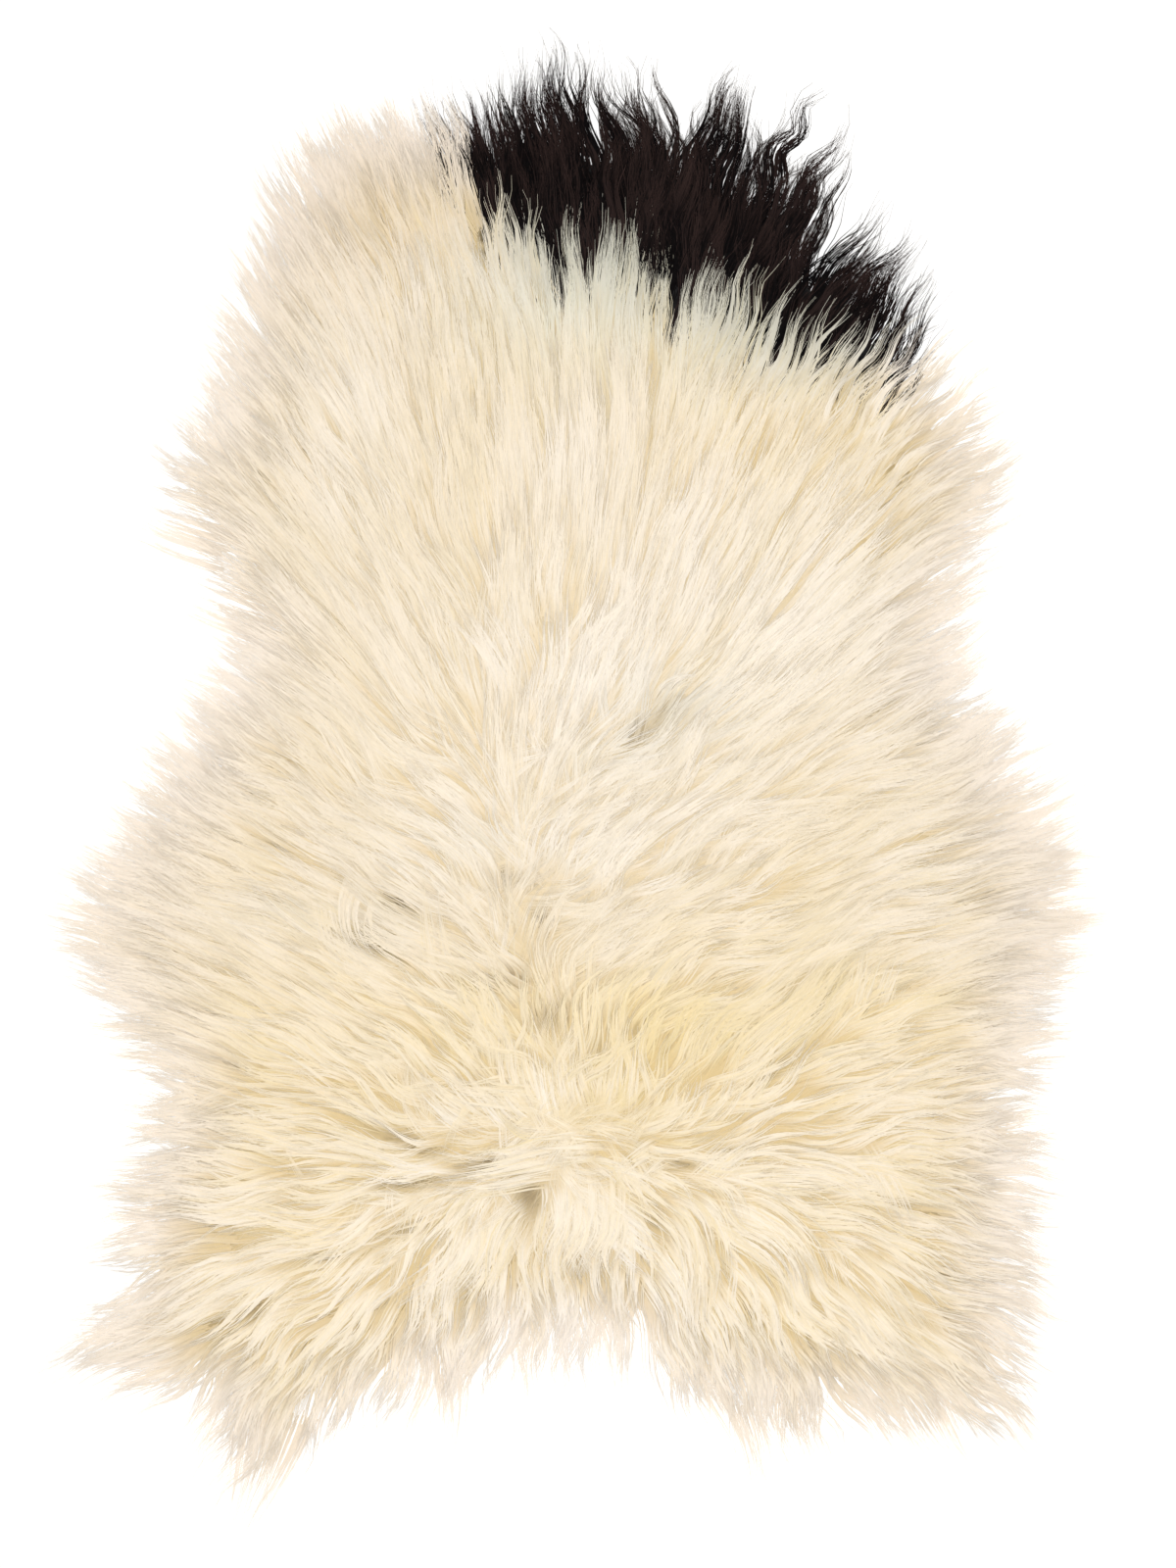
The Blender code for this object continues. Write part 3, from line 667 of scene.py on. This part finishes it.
def make_locks(ground, rng):
    """Every lock's line and its own sizes, as a dict of arrays."""
    tufts = make_tufts(ground, rng)
    roots = scattered(ground, LOCK_PITCH, ROOTS_EDGE, rng)
    count = len(roots)
    own = rng.uniform(-0.006, 0.006, (count, 2))
    stray = ground.at(ground.stray, roots) * 0.35 + math.radians(1.0)
    away = ((roots[:, None] + own[:, None] - tufts["roots"][None]) ** 2).sum(axis=-1)
    tuft = away.argmin(axis=1)
    lengths = ground.at(ground.length, roots) * rng.uniform(0.84, 1.16, count)
    lines = grow_lines(
        ground,
        roots,
        lengths * LINE_SPARE,
        tufts["bend"][tuft] * rng.uniform(0.8, 1.2, count),
        tufts["wavelength"][tuft] * rng.uniform(0.93, 1.07, count),
        tufts["turn"][tuft] + rng.normal(0.0, 1.0, count) * stray,
        tufts["phase"][tuft] + rng.normal(0.0, 0.40, count),
    )
    short = tufts["short"][tuft] + LOCK_SHORT * rng.exponential(1.0, count)
    lines, kept = fitted(ground, lines, MAX_SPILL - short * ground.at(ground.haze, roots))
    lines = drawn_together(lines, tufts["lines"][tuft], ground.at(ground.draw, roots))
    parted = ground.at(ground.hollow, lines[:, LINE_STEPS // 6 :]).max(axis=1)
    keep = (kept * lengths > SHORTEST_LOCK) & (parted < rng.uniform(0.4, 0.95, count))
    locks = {
        "roots": roots,
        "lines": lines,
        "closing": ground.at(ground.closing, roots),
        "lift": LOCK_LIFT * tufts["lift"][tuft] * rng.uniform(0.92, 1.08, count),
        "shade": 0.6 * tufts["shade"][tuft] + 0.6 * rng.normal(0.0, 1.0, count),
        "wavy": ground.at(ground.bend, roots) > math.radians(WAVY_FROM),
    }
    locks = {name: values[keep] for name, values in locks.items()}
    for more in (feature_locks(rng), filling_locks(ground, locks["lines"], rng)):
        locks = {name: np.concatenate([locks[name], more[name]]) for name in locks}
    locks["dark"] = dark_wool(ground, locks["roots"])
    past = past_dark_line(locks["roots"])
    below, above = 0.4 + 0.8 * smooth(past / 50.0), 1.0 + 0.25 * np.exp(-((past / 30.0) ** 2))
    locks["lift"] *= np.where(locks["dark"], below, above)
    return locks


def filling_locks(ground, lines, rng):
    """Short locks across the places that the other locks leave bare."""
    spots = ((lines[:, LINE_STEPS // 5 :].reshape(-1, 2) - ground.low) / GRID_PITCH).astype(int)
    cover = np.zeros(ground.points.shape[:2])
    np.add.at(cover, (spots[:, 1], spots[:, 0]), 1.0)
    cover = ground.blurred(cover, FILL_BLUR)
    places = scattered(ground, FILL_PITCH, UNDERWOOL_EDGE - 0.5 * UNDERWOOL_SLOPE, rng)
    covered = ground.at(cover, places)
    places = places[covered < BARE_COVER * np.median(covered)]
    count = len(places)
    sunk = HOLLOW_SINK * ground.at(ground.hollow, places)
    share = np.linspace(0.0, 1.0, LINE_STEPS + 1)
    turns = rng.normal(0.0, 0.45, (count, 1)) + rng.normal(0.0, 0.5, (count, 1)) * share
    headings = turned(ground.at(ground.heading, places)[:, None], turns)
    lengths = FILL_LENGTH * rng.uniform(0.75, 1.25, count)
    steps = np.cumsum(headings, axis=1) * (lengths / LINE_STEPS)[:, None, None]
    return {
        "roots": places,
        "lines": places[:, None] + steps - steps[:, LINE_STEPS // 2, None],
        "closing": np.full(count, 0.45),
        "lift": LOCK_LIFT * rng.uniform(0.3, 0.9, count) - sunk,
        "shade": rng.normal(0.0, 0.8, count),
        "wavy": np.full(count, False),
    }


def feature_locks(rng):
    """The locks of the listed tufts, side by side along their tuft's curve."""
    share = np.linspace(0.0, 1.0, LINE_STEPS + 1)
    lines, lifts = [], []
    for _, x, y, heading, curl, wave, waves, length, width, draw, lift in FEATURES:
        count = max(2, round(width / FEATURE_PITCH))
        angles = heading + curl * share + wave * np.sin(2.0 * np.pi * waves * share)
        headings = direction(np.radians(angles))
        step = length * MM * LINE_SPARE / LINE_STEPS
        middle = np.cumsum(headings, axis=0) * step + table_place(x, y)
        offsets = np.linspace(-0.5, 0.5, count) + rng.normal(0.0, 0.05, count)
        across = offsets[:, None] * width * MM * (1.0 - draw * share**1.6)
        shift = rng.uniform(-7.0, 7.0, (count, 1, 1)) * MM * headings[0]
        lines.append(middle + turned(headings, 0.5 * np.pi) * across[..., None] + shift)
        lifts.append(LOCK_LIFT * lift * rng.uniform(0.95, 1.05, count))
    lines = np.concatenate(lines)
    count = len(lines)
    return {
        "roots": lines[:, 0],
        "lines": lines,
        "closing": np.full(count, 0.72),
        "lift": np.concatenate(lifts),
        "shade": rng.normal(0.4, 0.5, count),
        "wavy": np.full(count, True),
    }


def drawn_together(lines, middles, draw):
    """The lines with their outer ends drawn sideways to the middle lines."""
    along = unit(np.gradient(lines, axis=1))
    gap = middles - lines
    gap -= (gap * along).sum(axis=-1, keepdims=True) * along
    share = np.linspace(0.0, 1.0, lines.shape[1])[None, :, None] ** 1.6
    return lines + gap * share * draw[:, None, None]


def fitted(ground, lines, spill):
    """The lines, shortened to end where the wool ends, and the share of each that is left."""
    steps = lines.shape[1] - 1
    past = ground.at(ground.rim, lines) > spill[:, None]
    past[:, 0] = False
    first = np.where(past.any(axis=1), past.argmax(axis=1), steps)
    kept = np.minimum(first / steps * LINE_SPARE, 1.0)
    return resampled(lines, kept[:, None] * np.linspace(0.0, 1.0, steps + 1)), kept


# ---- bodies and fibres on a lock's line ----


def height_over_floor(ground, places, share, lift):
    """How high the wool lies: it leaves the underwool, rides over the rest and dips at its tip."""
    rise = smooth(share / RISE_SHARE)
    dip = 1.0 - 0.40 * smooth((share - 0.68) / 0.32)
    outside = smooth((ground.at(ground.core, places) + 0.030) / 0.070)
    over = ground.at(ground.top, places) - LOCK_SINK * (1.0 - outside)
    over = over + lift * dip * (1.0 - 0.85 * outside)
    low = ground.at(ground.bed, places) - 0.003
    return np.clip(low * (1.0 - rise) + over * rise, LOWEST, CEILING)


def sides_and_ups(points):
    """Unit vectors across each line: one level, and one square to it and to the line."""
    along = unit(np.gradient(points, axis=1))
    side = np.stack([-along[..., 1], along[..., 0], np.zeros(along.shape[:2])], axis=-1)
    side = unit(side)
    return side, np.cross(along, side)


def fibre_lines(ground, locks, chosen, per_lock, segments, rng):
    """Fibres of the chosen locks: points, their shares along the lock, locks and depths."""
    lock = np.repeat(np.flatnonzero(chosen), per_lock)
    count = len(lock)
    lines = locks["lines"][lock]
    share = np.linspace(0.0, 1.0, lines.shape[1])[None]
    along = unit(np.gradient(lines, axis=1))
    side = np.stack([-along[..., 1], along[..., 0]], axis=-1)

    # Each fibre keeps to one of a few bunches of its lock, and the lock is arched across.
    bunch = rng.integers(0, BUNCHES, count)
    shared = rng.normal(0.0, 1.0, (5, len(locks["lift"]), BUNCHES))[:, lock, bunch]
    middle, lean, phase, pace, reach = shared[..., None]
    own = 0.36 * rng.normal(0.0, 1.0, (count, 1))
    closing = locks["closing"][lock]
    loose = rng.random((count, 1)) < 0.08
    across = 0.85 * middle * (1.0 - closing[:, None] * share) + own * (1.0 - BUNCHING * share)
    leaning = 0.0030 * lean + rng.normal(0.0, 1.0, (count, 1)) * np.where(loose, 0.014, 0.0008)
    wiggle = np.where(locks["dark"][lock], DARK_WIGGLE, WIGGLE)[:, None]
    wander = wiggle * np.sin(3.0 * phase + (6.5 + 1.5 * pace) * share)
    across = LOCK_SPREAD * across + leaning * share**1.7 + wander * share
    lines = lines + side * across[..., None]

    usual = 1.0 / LINE_SPARE
    ends = usual * (1.0 - np.abs(0.18 * reach[:, 0] + rng.normal(0.0, 0.16, count)))
    ends = np.where(rng.random(count) < 0.06, rng.uniform(usual, 1.0, count), ends)
    ends = np.clip(ends, 0.40, 1.0)
    spot = 0.85 * middle[:, 0] + own[:, 0]
    starts = rng.uniform(0.0, 0.08, count)
    shares = starts[:, None] + (ends - starts)[:, None] * np.linspace(0.0, 1.0, segments + 1)
    places = resampled(lines, shares)

    depth = -LOCK_ARCH * closing**2 * np.minimum(spot**2, 2.0) + rng.normal(0.0, 0.0009, count)
    lift = locks["lift"][lock][:, None] * rng.uniform(0.9, 1.08, (count, 1))
    heights = height_over_floor(ground, places, shares, lift)
    heights = heights + depth[:, None] * (1.0 - 0.6 * shares)
    points = np.concatenate([places, np.maximum(heights, LOWEST_FIBRE)[..., None]], axis=-1)
    return points, shares, lock, depth


# ---- colour ----


def mixed(colours, colour, share):
    share = np.asarray(share)[..., None]
    return colours * (1.0 - share) + np.array(colour) * share


def past_dark_line(roots):
    """How many millimetres past the edge of the dark wool's roots the places lie."""
    x, y = in_tables(roots)
    line = np.array(DARK_ROOTS)
    edge = np.interp(x, line[:, 0], line[:, 1])
    return np.minimum(y - edge, (x - line[0, 0]) * 1.6)


def dark_wool(ground, roots):
    """Whether the wool is rooted in the dark patch. At its right end the two are mixed."""
    x = in_tables(roots)[0]
    blur = DARK_EDGE_BLUR + DARK_END_BLUR * smooth((x - 140.0) / 90.0)
    return past_dark_line(roots) + blur * ground.at(ground.ragged, roots) > 0.0


def root_colours(ground, roots):
    colours = np.tile(np.array(CREAM), (len(roots), 1))
    warm = ground.at(ground.warm, roots)
    colours = mixed(colours, PALE, 0.40 * smooth(warm))
    colours = mixed(colours, GOLD, 0.14 * smooth(-warm))
    for _, x, y, across, along, colour, strength in TINTS:
        away = (roots - table_place(x, y)) / (np.array([across, along]) * MM)
        colours = mixed(colours, colour, strength * np.exp(-(away**2).sum(axis=-1)))
    return colours


def painted(ground, colours, dark, hue_and_sheen, points, shares):
    """The colour at each point of the lines: paler at the rim and brown at dark tips, with painted
    shade in the gaps, in the hollows and by the dark wool, and painted sheen in the dark wool.
    """
    cream = np.broadcast_to(colours[:, None], points.shape)
    cream = mixed(cream, PALE, 0.25 * smooth((shares - 0.45) / 0.55))
    places = points[..., :2]
    deep = ground.at(ground.top, places) - points[..., 2]
    golden = 0.12 + 0.82 * ground.at(ground.closing, places)
    # Painted shade: wool lying deeper under the top turns golden brown, for the shade in the gaps
    # between the locks and the yellower deep wool.
    cream = mixed(cream, CREVICE_YELLOW_AND_SHADE, golden * smooth((deep + 0.001) / 0.010))
    # Painted shade and the browner deep wool: brown deep in the hollows.
    cream = mixed(cream, BROWN, 0.95 * ground.at(ground.hollow, places) * smooth(deep / 0.012))
    cream = mixed(cream, RIM_WHITE, 0.70 * ground.at(ground.whiteness, places))
    # Greyer near the edge of the dark wool: the dark wool seen through the cream tips, and painted
    # shade between them.
    cream = mixed(cream, GREY, 0.60 * smooth((past_dark_line(places) + 5.0) / 70.0))
    cream = WOOL_SHADE * cream
    black = np.broadcast_to(np.array(BLACK), points.shape)
    # Painted sheen: brown streaks in the dark wool stand in for its highlights, as well as for its
    # brown strands.
    black = mixed(black, DARK_TIP_AND_SHEEN, 0.40 * smooth(hue_and_sheen)[:, None])
    black = mixed(black, DARK_TIP_AND_SHEEN, 0.9 * smooth((shares - 0.45) / 0.5))
    return np.where(dark[:, None, None], black, cream)


# ---- meshes ----


def placed(name, data):
    """A new object in the scene."""
    thing = bpy.data.objects.new(name, data)
    bpy.context.scene.collection.objects.link(thing)
    return thing


def wool_piece(name, mesh, material):
    """A new piece of the rug, on its one body."""
    mesh.materials.append(material)
    piece = placed(name, mesh)
    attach(piece, "root")
    return piece


def cells(count):
    """The low corner and the size of a square cell of the unit square for each of many."""
    columns = math.ceil(math.sqrt(count))
    index = np.arange(count)
    return np.stack([index % columns, index // columns], axis=-1) / columns, 1.0 / columns


def mesh_object(name, points, faces, uvs, colours, material):
    """A mesh of quads and triangles, smooth but at sharp edges, with its UV map and colours."""
    mesh = bpy.data.meshes.new(name)
    mesh.vertices.add(len(points))
    mesh.vertices.foreach_set("co", points.astype(np.float32).ravel())
    corners = np.concatenate([face.ravel() for face in faces])
    sizes = np.concatenate([np.full(len(face), face.shape[1]) for face in faces])
    mesh.loops.add(len(corners))
    mesh.loops.foreach_set("vertex_index", corners.astype(np.int32))
    mesh.polygons.add(len(sizes))
    starts = np.concatenate([[0], np.cumsum(sizes)[:-1]])
    mesh.polygons.foreach_set("loop_start", starts.astype(np.int32))
    mesh.update(calc_edges=True)
    mesh.shade_smooth()
    mesh.set_sharp_from_angle(angle=math.radians(SHARP_EDGE))
    if uvs is not None:
        layer = mesh.uv_layers.new(name="OFBake")
        layer.data.foreach_set("uv", uvs.astype(np.float32).ravel())
    attribute = mesh.color_attributes.new("wool", "FLOAT_COLOR", "POINT")
    opaque = np.concatenate([colours, np.ones((len(colours), 1))], axis=1)
    attribute.data.foreach_set("color", opaque.astype(np.float32).ravel())
    return wool_piece(name, mesh, material)


def ribbon_object(name, points, widths, rolls, colours, material):
    """One flat tapered ribbon for each line of points."""
    count, rows = points.shape[:2]
    side, up = sides_and_ups(points)
    half = 0.5 * widths[..., None]
    reach = (side * np.cos(rolls)[..., None] + up * np.sin(rolls)[..., None]) * half
    edges = np.stack([points - reach, points + reach], axis=2)
    facing = up * np.cos(rolls)[..., None] - side * np.sin(rolls)[..., None]
    facing = unit(facing * (1.0 - NORMALS_UP) + np.array([0.0, 0.0, NORMALS_UP]))
    first = np.arange(count)[:, None] * rows * 2 + np.arange(rows - 1)[None] * 2
    quads = np.stack([first, first + 2, first + 3, first + 1], axis=-1).reshape(-1, 4)

    low, size = cells(count)
    inset = 0.14
    u = np.array([inset, 1.0 - inset])
    v = np.linspace(inset, 1.0 - inset, rows)
    grid = np.stack(np.broadcast_arrays(u[None, None], v[None, :, None]), axis=-1)
    uv = (low[:, None, None] + grid * size).reshape(-1, 2)
    edges = edges.reshape(-1, 3)
    colours = np.repeat(colours, 2, axis=1).reshape(-1, 3)
    ribbons = mesh_object(name, edges, [quads], uv[quads.ravel()], colours, material)
    normals = np.repeat(facing, 2, axis=1).reshape(-1, 3)
    ribbons.data.normals_split_custom_set_from_vertices(normals.tolist())
    return ribbons


def body_object(name, points, halves, colours, material):
    """A closed tapered body of three sides for each line of points."""
    count, rows = points.shape[:2]
    side, up = sides_and_ups(points)
    ring = [
        points + (side * across + up * rise) * halves[..., None] for across, rise in BODY_SECTION
    ]
    turn = np.arange(3)
    level = np.arange(rows - 1)
    base = np.arange(count) * rows * 3
    first = base[:, None, None] + level[None, :, None] * 3 + turn
    after = base[:, None, None] + level[None, :, None] * 3 + (turn + 1) % 3
    sides = np.stack([first, after, after + 3, first + 3], axis=-1).reshape(-1, 4)
    top = base + (rows - 1) * 3
    roots = np.stack([base + 2, base + 1, base], axis=-1)
    tips = np.stack([top, top + 1, top + 2], axis=-1)

    low, size = cells(count)
    grid_u = 0.10 + 0.80 * (turn[:, None] + np.array([0.0, 1.0, 1.0, 0.0])) / 3.0
    grid_v = 0.10 + 0.80 * (level[:, None, None] + np.array([0.0, 0.0, 1.0, 1.0])) / (rows - 1)
    grid = np.stack(np.broadcast_arrays(grid_u[None], grid_v), axis=-1)
    side_uv = low[:, None, None, None] + grid * size
    middle = np.array([[0.45, 0.04], [0.50, 0.07], [0.55, 0.04]])
    root_uv = low[:, None] + middle * size
    tip_uv = low[:, None] + (middle + [0.0, 0.89]) * size
    uvs = np.concatenate([uv.reshape(-1, 2) for uv in (side_uv, root_uv, tip_uv)])
    points = np.stack(ring, axis=2).reshape(-1, 3)
    colours = np.repeat(colours, 3, axis=1).reshape(-1, 3)
    return mesh_object(name, points, [sides, roots, tips], uvs, colours, material)


# ---- materials ----


def new_material(name, roughness, specular):
    material = bpy.data.materials.new(name)
    material.use_nodes = True
    tree = material.node_tree
    shader = tree.nodes["Principled BSDF"]
    shader.inputs["Roughness"].default_value = roughness
    shader.inputs["Specular IOR Level"].default_value = specular
    return material, tree, shader


def mapped(tree, noise, low, high):
    """The usual range of the noise, spread from the low value to the high one."""
    node = tree.nodes.new("ShaderNodeMapRange")
    ends = {"From Min": 0.3, "From Max": 0.7, "To Min": low, "To Max": high}
    for socket, value in ends.items():
        node.inputs[socket].default_value = value
    tree.links.new(noise, node.inputs["Value"])
    return node.outputs["Result"]


def grain(tree, scale, detail):
    """Noise that is fixed to the rug."""
    place = tree.nodes.new("ShaderNodeNewGeometry")
    noise = tree.nodes.new("ShaderNodeTexNoise")
    noise.inputs["Scale"].default_value = scale
    noise.inputs["Detail"].default_value = detail
    tree.links.new(place.outputs["Position"], noise.inputs["Vector"])
    return noise.outputs["Fac"]


def relief(tree, shader, height, strength):
    bump = tree.nodes.new("ShaderNodeBump")
    bump.inputs["Strength"].default_value = strength
    bump.inputs["Distance"].default_value = 0.001
    tree.links.new(height, bump.inputs["Height"])
    tree.links.new(bump.outputs["Normal"], shader.inputs["Normal"])


def wool_material(name, scale, bump, specular=WOOL_GLOSS):
    """Wool of the mesh's own colours, with finer variation in shade, gloss and relief."""
    material, tree, shader = new_material(name, 0.65, specular)
    colour = tree.nodes.new("ShaderNodeAttribute")
    colour.attribute_name = "wool"
    noise = grain(tree, scale, 3.0)
    mix = tree.nodes.new("ShaderNodeMix")
    mix.data_type = "RGBA"
    mix.blend_type = "MULTIPLY"
    mix.inputs["Factor"].default_value = 1.0
    tree.links.new(colour.outputs["Color"], mix.inputs["A"])
    tree.links.new(mapped(tree, noise, 0.965, 1.02), mix.inputs["B"])
    tree.links.new(mix.outputs["Result"], shader.inputs["Base Color"])
    tree.links.new(mapped(tree, noise, 0.52, 0.78), shader.inputs["Roughness"])
    if bump > 0.0:
        relief(tree, shader, noise, bump)
    return material


def suede_material():
    material, tree, shader = new_material("suede", 0.9, 0.12)
    noise = grain(tree, 55.0, 6.0)
    ramp = tree.nodes.new("ShaderNodeValToRGB")
    ramp.color_ramp.elements[0].color = (0.52, 0.40, 0.26, 1.0)
    ramp.color_ramp.elements[1].color = (0.74, 0.63, 0.47, 1.0)
    tree.links.new(noise, ramp.inputs["Fac"])
    tree.links.new(ramp.outputs["Color"], shader.inputs["Base Color"])
    relief(tree, shader, noise, 0.5)
    return material


# ---- the pieces ----


def triangulated(places, rim):
    """Triangles over the places, inside the line of the first of them."""
    ring = [(index, (index + 1) % rim) for index in range(rim)]
    found = geometry.delaunay_2d_cdt([Vector(place) for place in places], ring, [], 1, 1e-7)
    sources = found[3]
    return np.array([[sources[corner][0] for corner in face] for face in found[2]])


def make_underwool(ground, rng):
    """The dense wool between the locks: the solid's own lumpy top, a little lower."""
    rim = rim_line(ground, UNDERWOOL_EDGE, 0.005)
    inside = scattered(ground, UNDERWOOL_PITCH, UNDERWOOL_EDGE - 0.005, rng)
    places = np.concatenate([rim, inside])
    top_faces = triangulated(places, len(rim))
    bottom_faces = triangulated(rim, len(rim)) + len(places)
    bottom_faces = bottom_faces[:, ::-1]
    index = np.arange(len(rim))
    after = (index + 1) % len(rim)
    walls = np.stack([index, index + len(places), after + len(places), after], axis=-1)

    fluff = 0.0010 * ground.at(ground.noise(0.009, rng), places)
    heights = ground.at(ground.bed, places) + fluff
    top = np.concatenate([places, np.maximum(heights, 0.004)[:, None]], axis=1)
    bottom = np.concatenate([rim, np.full((len(rim), 1), 0.0018)], axis=1)
    points = np.concatenate([top, bottom])
    # Painted shade: the underwool, seen only in the gaps, is darker and golder than the locks,
    # partly as the deep wool is yellower.
    colours = UNDERWOOL_PAINTED_SHADE * mixed(root_colours(ground, points[:, :2]), GOLD, 0.2)
    dark = past_dark_line(points[:, :2]) > DARK_UNDERWOOL_FROM
    hue_and_sheen = np.zeros(len(points))
    shares = np.full((len(points), 1), 0.2)
    colours = painted(ground, colours, dark, hue_and_sheen, points[:, None], shares)[:, 0]
    material = wool_material("underwool", 260.0, 0.6)
    faces = [top_faces, bottom_faces, walls]
    return mesh_object("underwool", points, faces, None, colours, material)


def make_fibres(ground, locks, name, chosen, per_lock, segments, width, specular, rng):
    """The fine fibres of the chosen locks, in as many pieces as the triangles need."""
    points, shares, lock, depth = fibre_lines(ground, locks, chosen, per_lock, segments, rng)
    count = len(points)
    colours = root_colours(ground, locks["roots"])[lock]
    shade = 1.0 + 0.010 * locks["shade"][lock] + rng.normal(0.0, 0.016, count)
    # Random tone of each fibre, which in the dark wool also paints its sheen.
    hue_and_sheen = locks["shade"][lock] + rng.normal(0.0, 0.6, count)
    spread = 0.06 + 0.24 * locks["closing"][lock]
    # Random golden and pale fibres, and painted shade: fibres lying lower in their lock turn
    # golden.
    colours = mixed(colours, GOLD, spread * smooth(-hue_and_sheen) + 0.30 * smooth(-depth / 0.004))
    colours = mixed(colours, PALE, spread * smooth(hue_and_sheen))
    colours = np.clip(colours * shade[:, None], 0.0, 0.97)
    colours = painted(ground, colours, locks["dark"][lock], hue_and_sheen, points, shares)
    taper = smooth(np.linspace(0.0, 1.0, segments + 1)) ** 1.2
    taper = 1.0 - (1.0 - FIBRE_TIP_SHARE) * taper
    thin = 1.0 - 0.30 * ground.at(ground.whiteness, points[..., :2])
    thin = np.where(locks["dark"][lock][:, None], 1.0, thin)
    widths = width * rng.uniform(0.65, 1.25, (count, 1)) * taper[None] * thin
    rolls = rng.uniform(-0.3, 0.3, (count, 1)) + rng.uniform(-0.3, 0.3, (count, 1)) * shares
    material = wool_material(name, 420.0, 0.0, specular)
    parts = math.ceil(count * segments * 2 / MAX_TRIANGLES)
    pieces = []
    for part in range(parts):
        rows = slice(part, None, parts)
        piece = f"{name}_{part + 1}"
        pieces.append(
            ribbon_object(piece, points[rows], widths[rows], rolls[rows], colours[rows], material)
        )
    return pieces


def make_bodies(ground, locks, name, chosen, lengths, specular, rng):
    """The closed tapered bodies of the chosen locks."""
    index = np.flatnonzero(chosen)
    colours = root_colours(ground, locks["roots"][index])
    colours = np.clip(colours * (1.0 + 0.012 * locks["shade"][index, None]), 0.0, 0.97)
    along = np.linspace(0.0, 1.0, BODY_SEGMENTS + 1)
    shares = rng.uniform(*lengths, (len(index), 1)) * along
    places = resampled(locks["lines"][index], shares)
    lift = locks["lift"][index, None]
    heights = height_over_floor(ground, places, shares, lift) - BODY_SINK
    points = np.concatenate([places, np.maximum(heights, LOWEST)[..., None]], axis=-1)
    swelling = (0.6 + 0.4 * smooth(along / 0.3)) * (1.0 - 0.92 * smooth((along - 0.25) / 0.75))
    swelling = swelling * (1.0 - 0.8 * ground.at(ground.whiteness, places))
    halves = 0.5 * BODY_WIDTH * rng.uniform(0.75, 1.25, (len(index), 1)) * swelling
    # Random tone of each lock, which in the dark wool also paints its sheen.
    hue_and_sheen = locks["shade"][index]
    shaded = painted(ground, colours, locks["dark"][index], hue_and_sheen, points, shares)
    return body_object(name, points, halves, shaded, wool_material(name, 380.0, 0.4, specular))


def make_skin(ground):
    """The tanned skin under the wool, as a thin closed sheet, with its flat size and area."""
    places = rim_line(ground, SKIN_EDGE, 0.008)
    flat = triangulated(places, len(places))
    sheet = bmesh.new()
    lower = [sheet.verts.new((x, y, 0.0)) for x, y in places]
    upper = [sheet.verts.new((x, y, SKIN_THICKNESS)) for x, y in places]
    for a, b, c in flat:
        sheet.faces.new((lower[c], lower[b], lower[a]))
        sheet.faces.new((upper[a], upper[b], upper[c]))
    for a in range(len(places)):
        b = (a + 1) % len(places)
        sheet.faces.new((lower[a], lower[b], upper[b], upper[a]))
    bmesh.ops.recalc_face_normals(sheet, faces=sheet.faces)
    area = sum(face.calc_area() for face in sheet.faces if face.normal.z > 0.9)
    mesh = bpy.data.meshes.new("skin")
    sheet.to_mesh(mesh)
    sheet.free()
    skin = wool_piece("skin", mesh, suede_material())
    width, length = (places.max(axis=0) - places.min(axis=0)).tolist()
    return skin, (width, length), float(area)


# ---- the stage ----


def make_stage():
    bpy.ops.mesh.primitive_plane_add(size=FLOOR_SIZE, location=(0.0, 0.0, -FLOOR_DROP))
    floor = bpy.context.object
    floor.name = "floor"
    material, _, shader = new_material("pale floor", 0.9, 0.1)
    shader.inputs["Base Color"].default_value = FLOOR_COLOUR
    floor.data.materials.append(material)

    world = bpy.data.worlds.new("studio")
    world.use_nodes = True
    background = world.node_tree.nodes["Background"]
    background.inputs["Color"].default_value = SKY_COLOUR
    background.inputs["Strength"].default_value = SKY_STRENGTH
    bpy.context.scene.world = world

    light = bpy.data.lights.new("soft box", "AREA")
    light.shape = "SQUARE"
    light.size = LIGHT_SIZE
    light.energy = LIGHT_POWER
    placed("soft box", light).location = CAMERA_PLACE
    bpy.context.scene.view_settings.view_transform = "Standard"
    bpy.context.scene.cycles.diffuse_bounces = 8


def make_camera():
    lens = bpy.data.cameras.new("camera")
    lens.lens = CAMERA_LENS_MM
    camera = placed("camera", lens)
    camera.location = CAMERA_PLACE
    bpy.context.scene.camera = camera


def main():
    rng = np.random.default_rng(SEED)
    make_camera()
    make_stage()
    ground = Ground("fleece", rng)
    locks = make_locks(ground, rng)
    dark = locks["dark"]
    straight, wavy = ~locks["wavy"] & ~dark, locks["wavy"] & ~dark
    pieces = [
        make_underwool(ground, rng),
        make_bodies(ground, locks, "wool_locks", wavy, BODY_LENGTHS, WOOL_GLOSS, rng),
        make_bodies(ground, locks, "dark_locks", dark, DARK_BODY_LENGTHS, DARK_GLOSS, rng),
    ]
    for name, chosen, count, segments, width, gloss in (
        ("fine_wool", straight, STRAIGHT_FIBRES, STRAIGHT_SEGMENTS, FIBRE_WIDTH, WOOL_GLOSS),
        ("wavy_wool", wavy, WAVY_FIBRES, WAVY_SEGMENTS, WAVY_WIDTH, WOOL_GLOSS),
        ("dark_wool", dark, DARK_FIBRES, WAVY_SEGMENTS, FIBRE_WIDTH, DARK_GLOSS),
    ):
        pieces += make_fibres(ground, locks, name, chosen, count, segments, width, gloss, rng)
    for piece in pieces:
        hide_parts("fleece")
    skin, flat, area = make_skin(ground)


main()
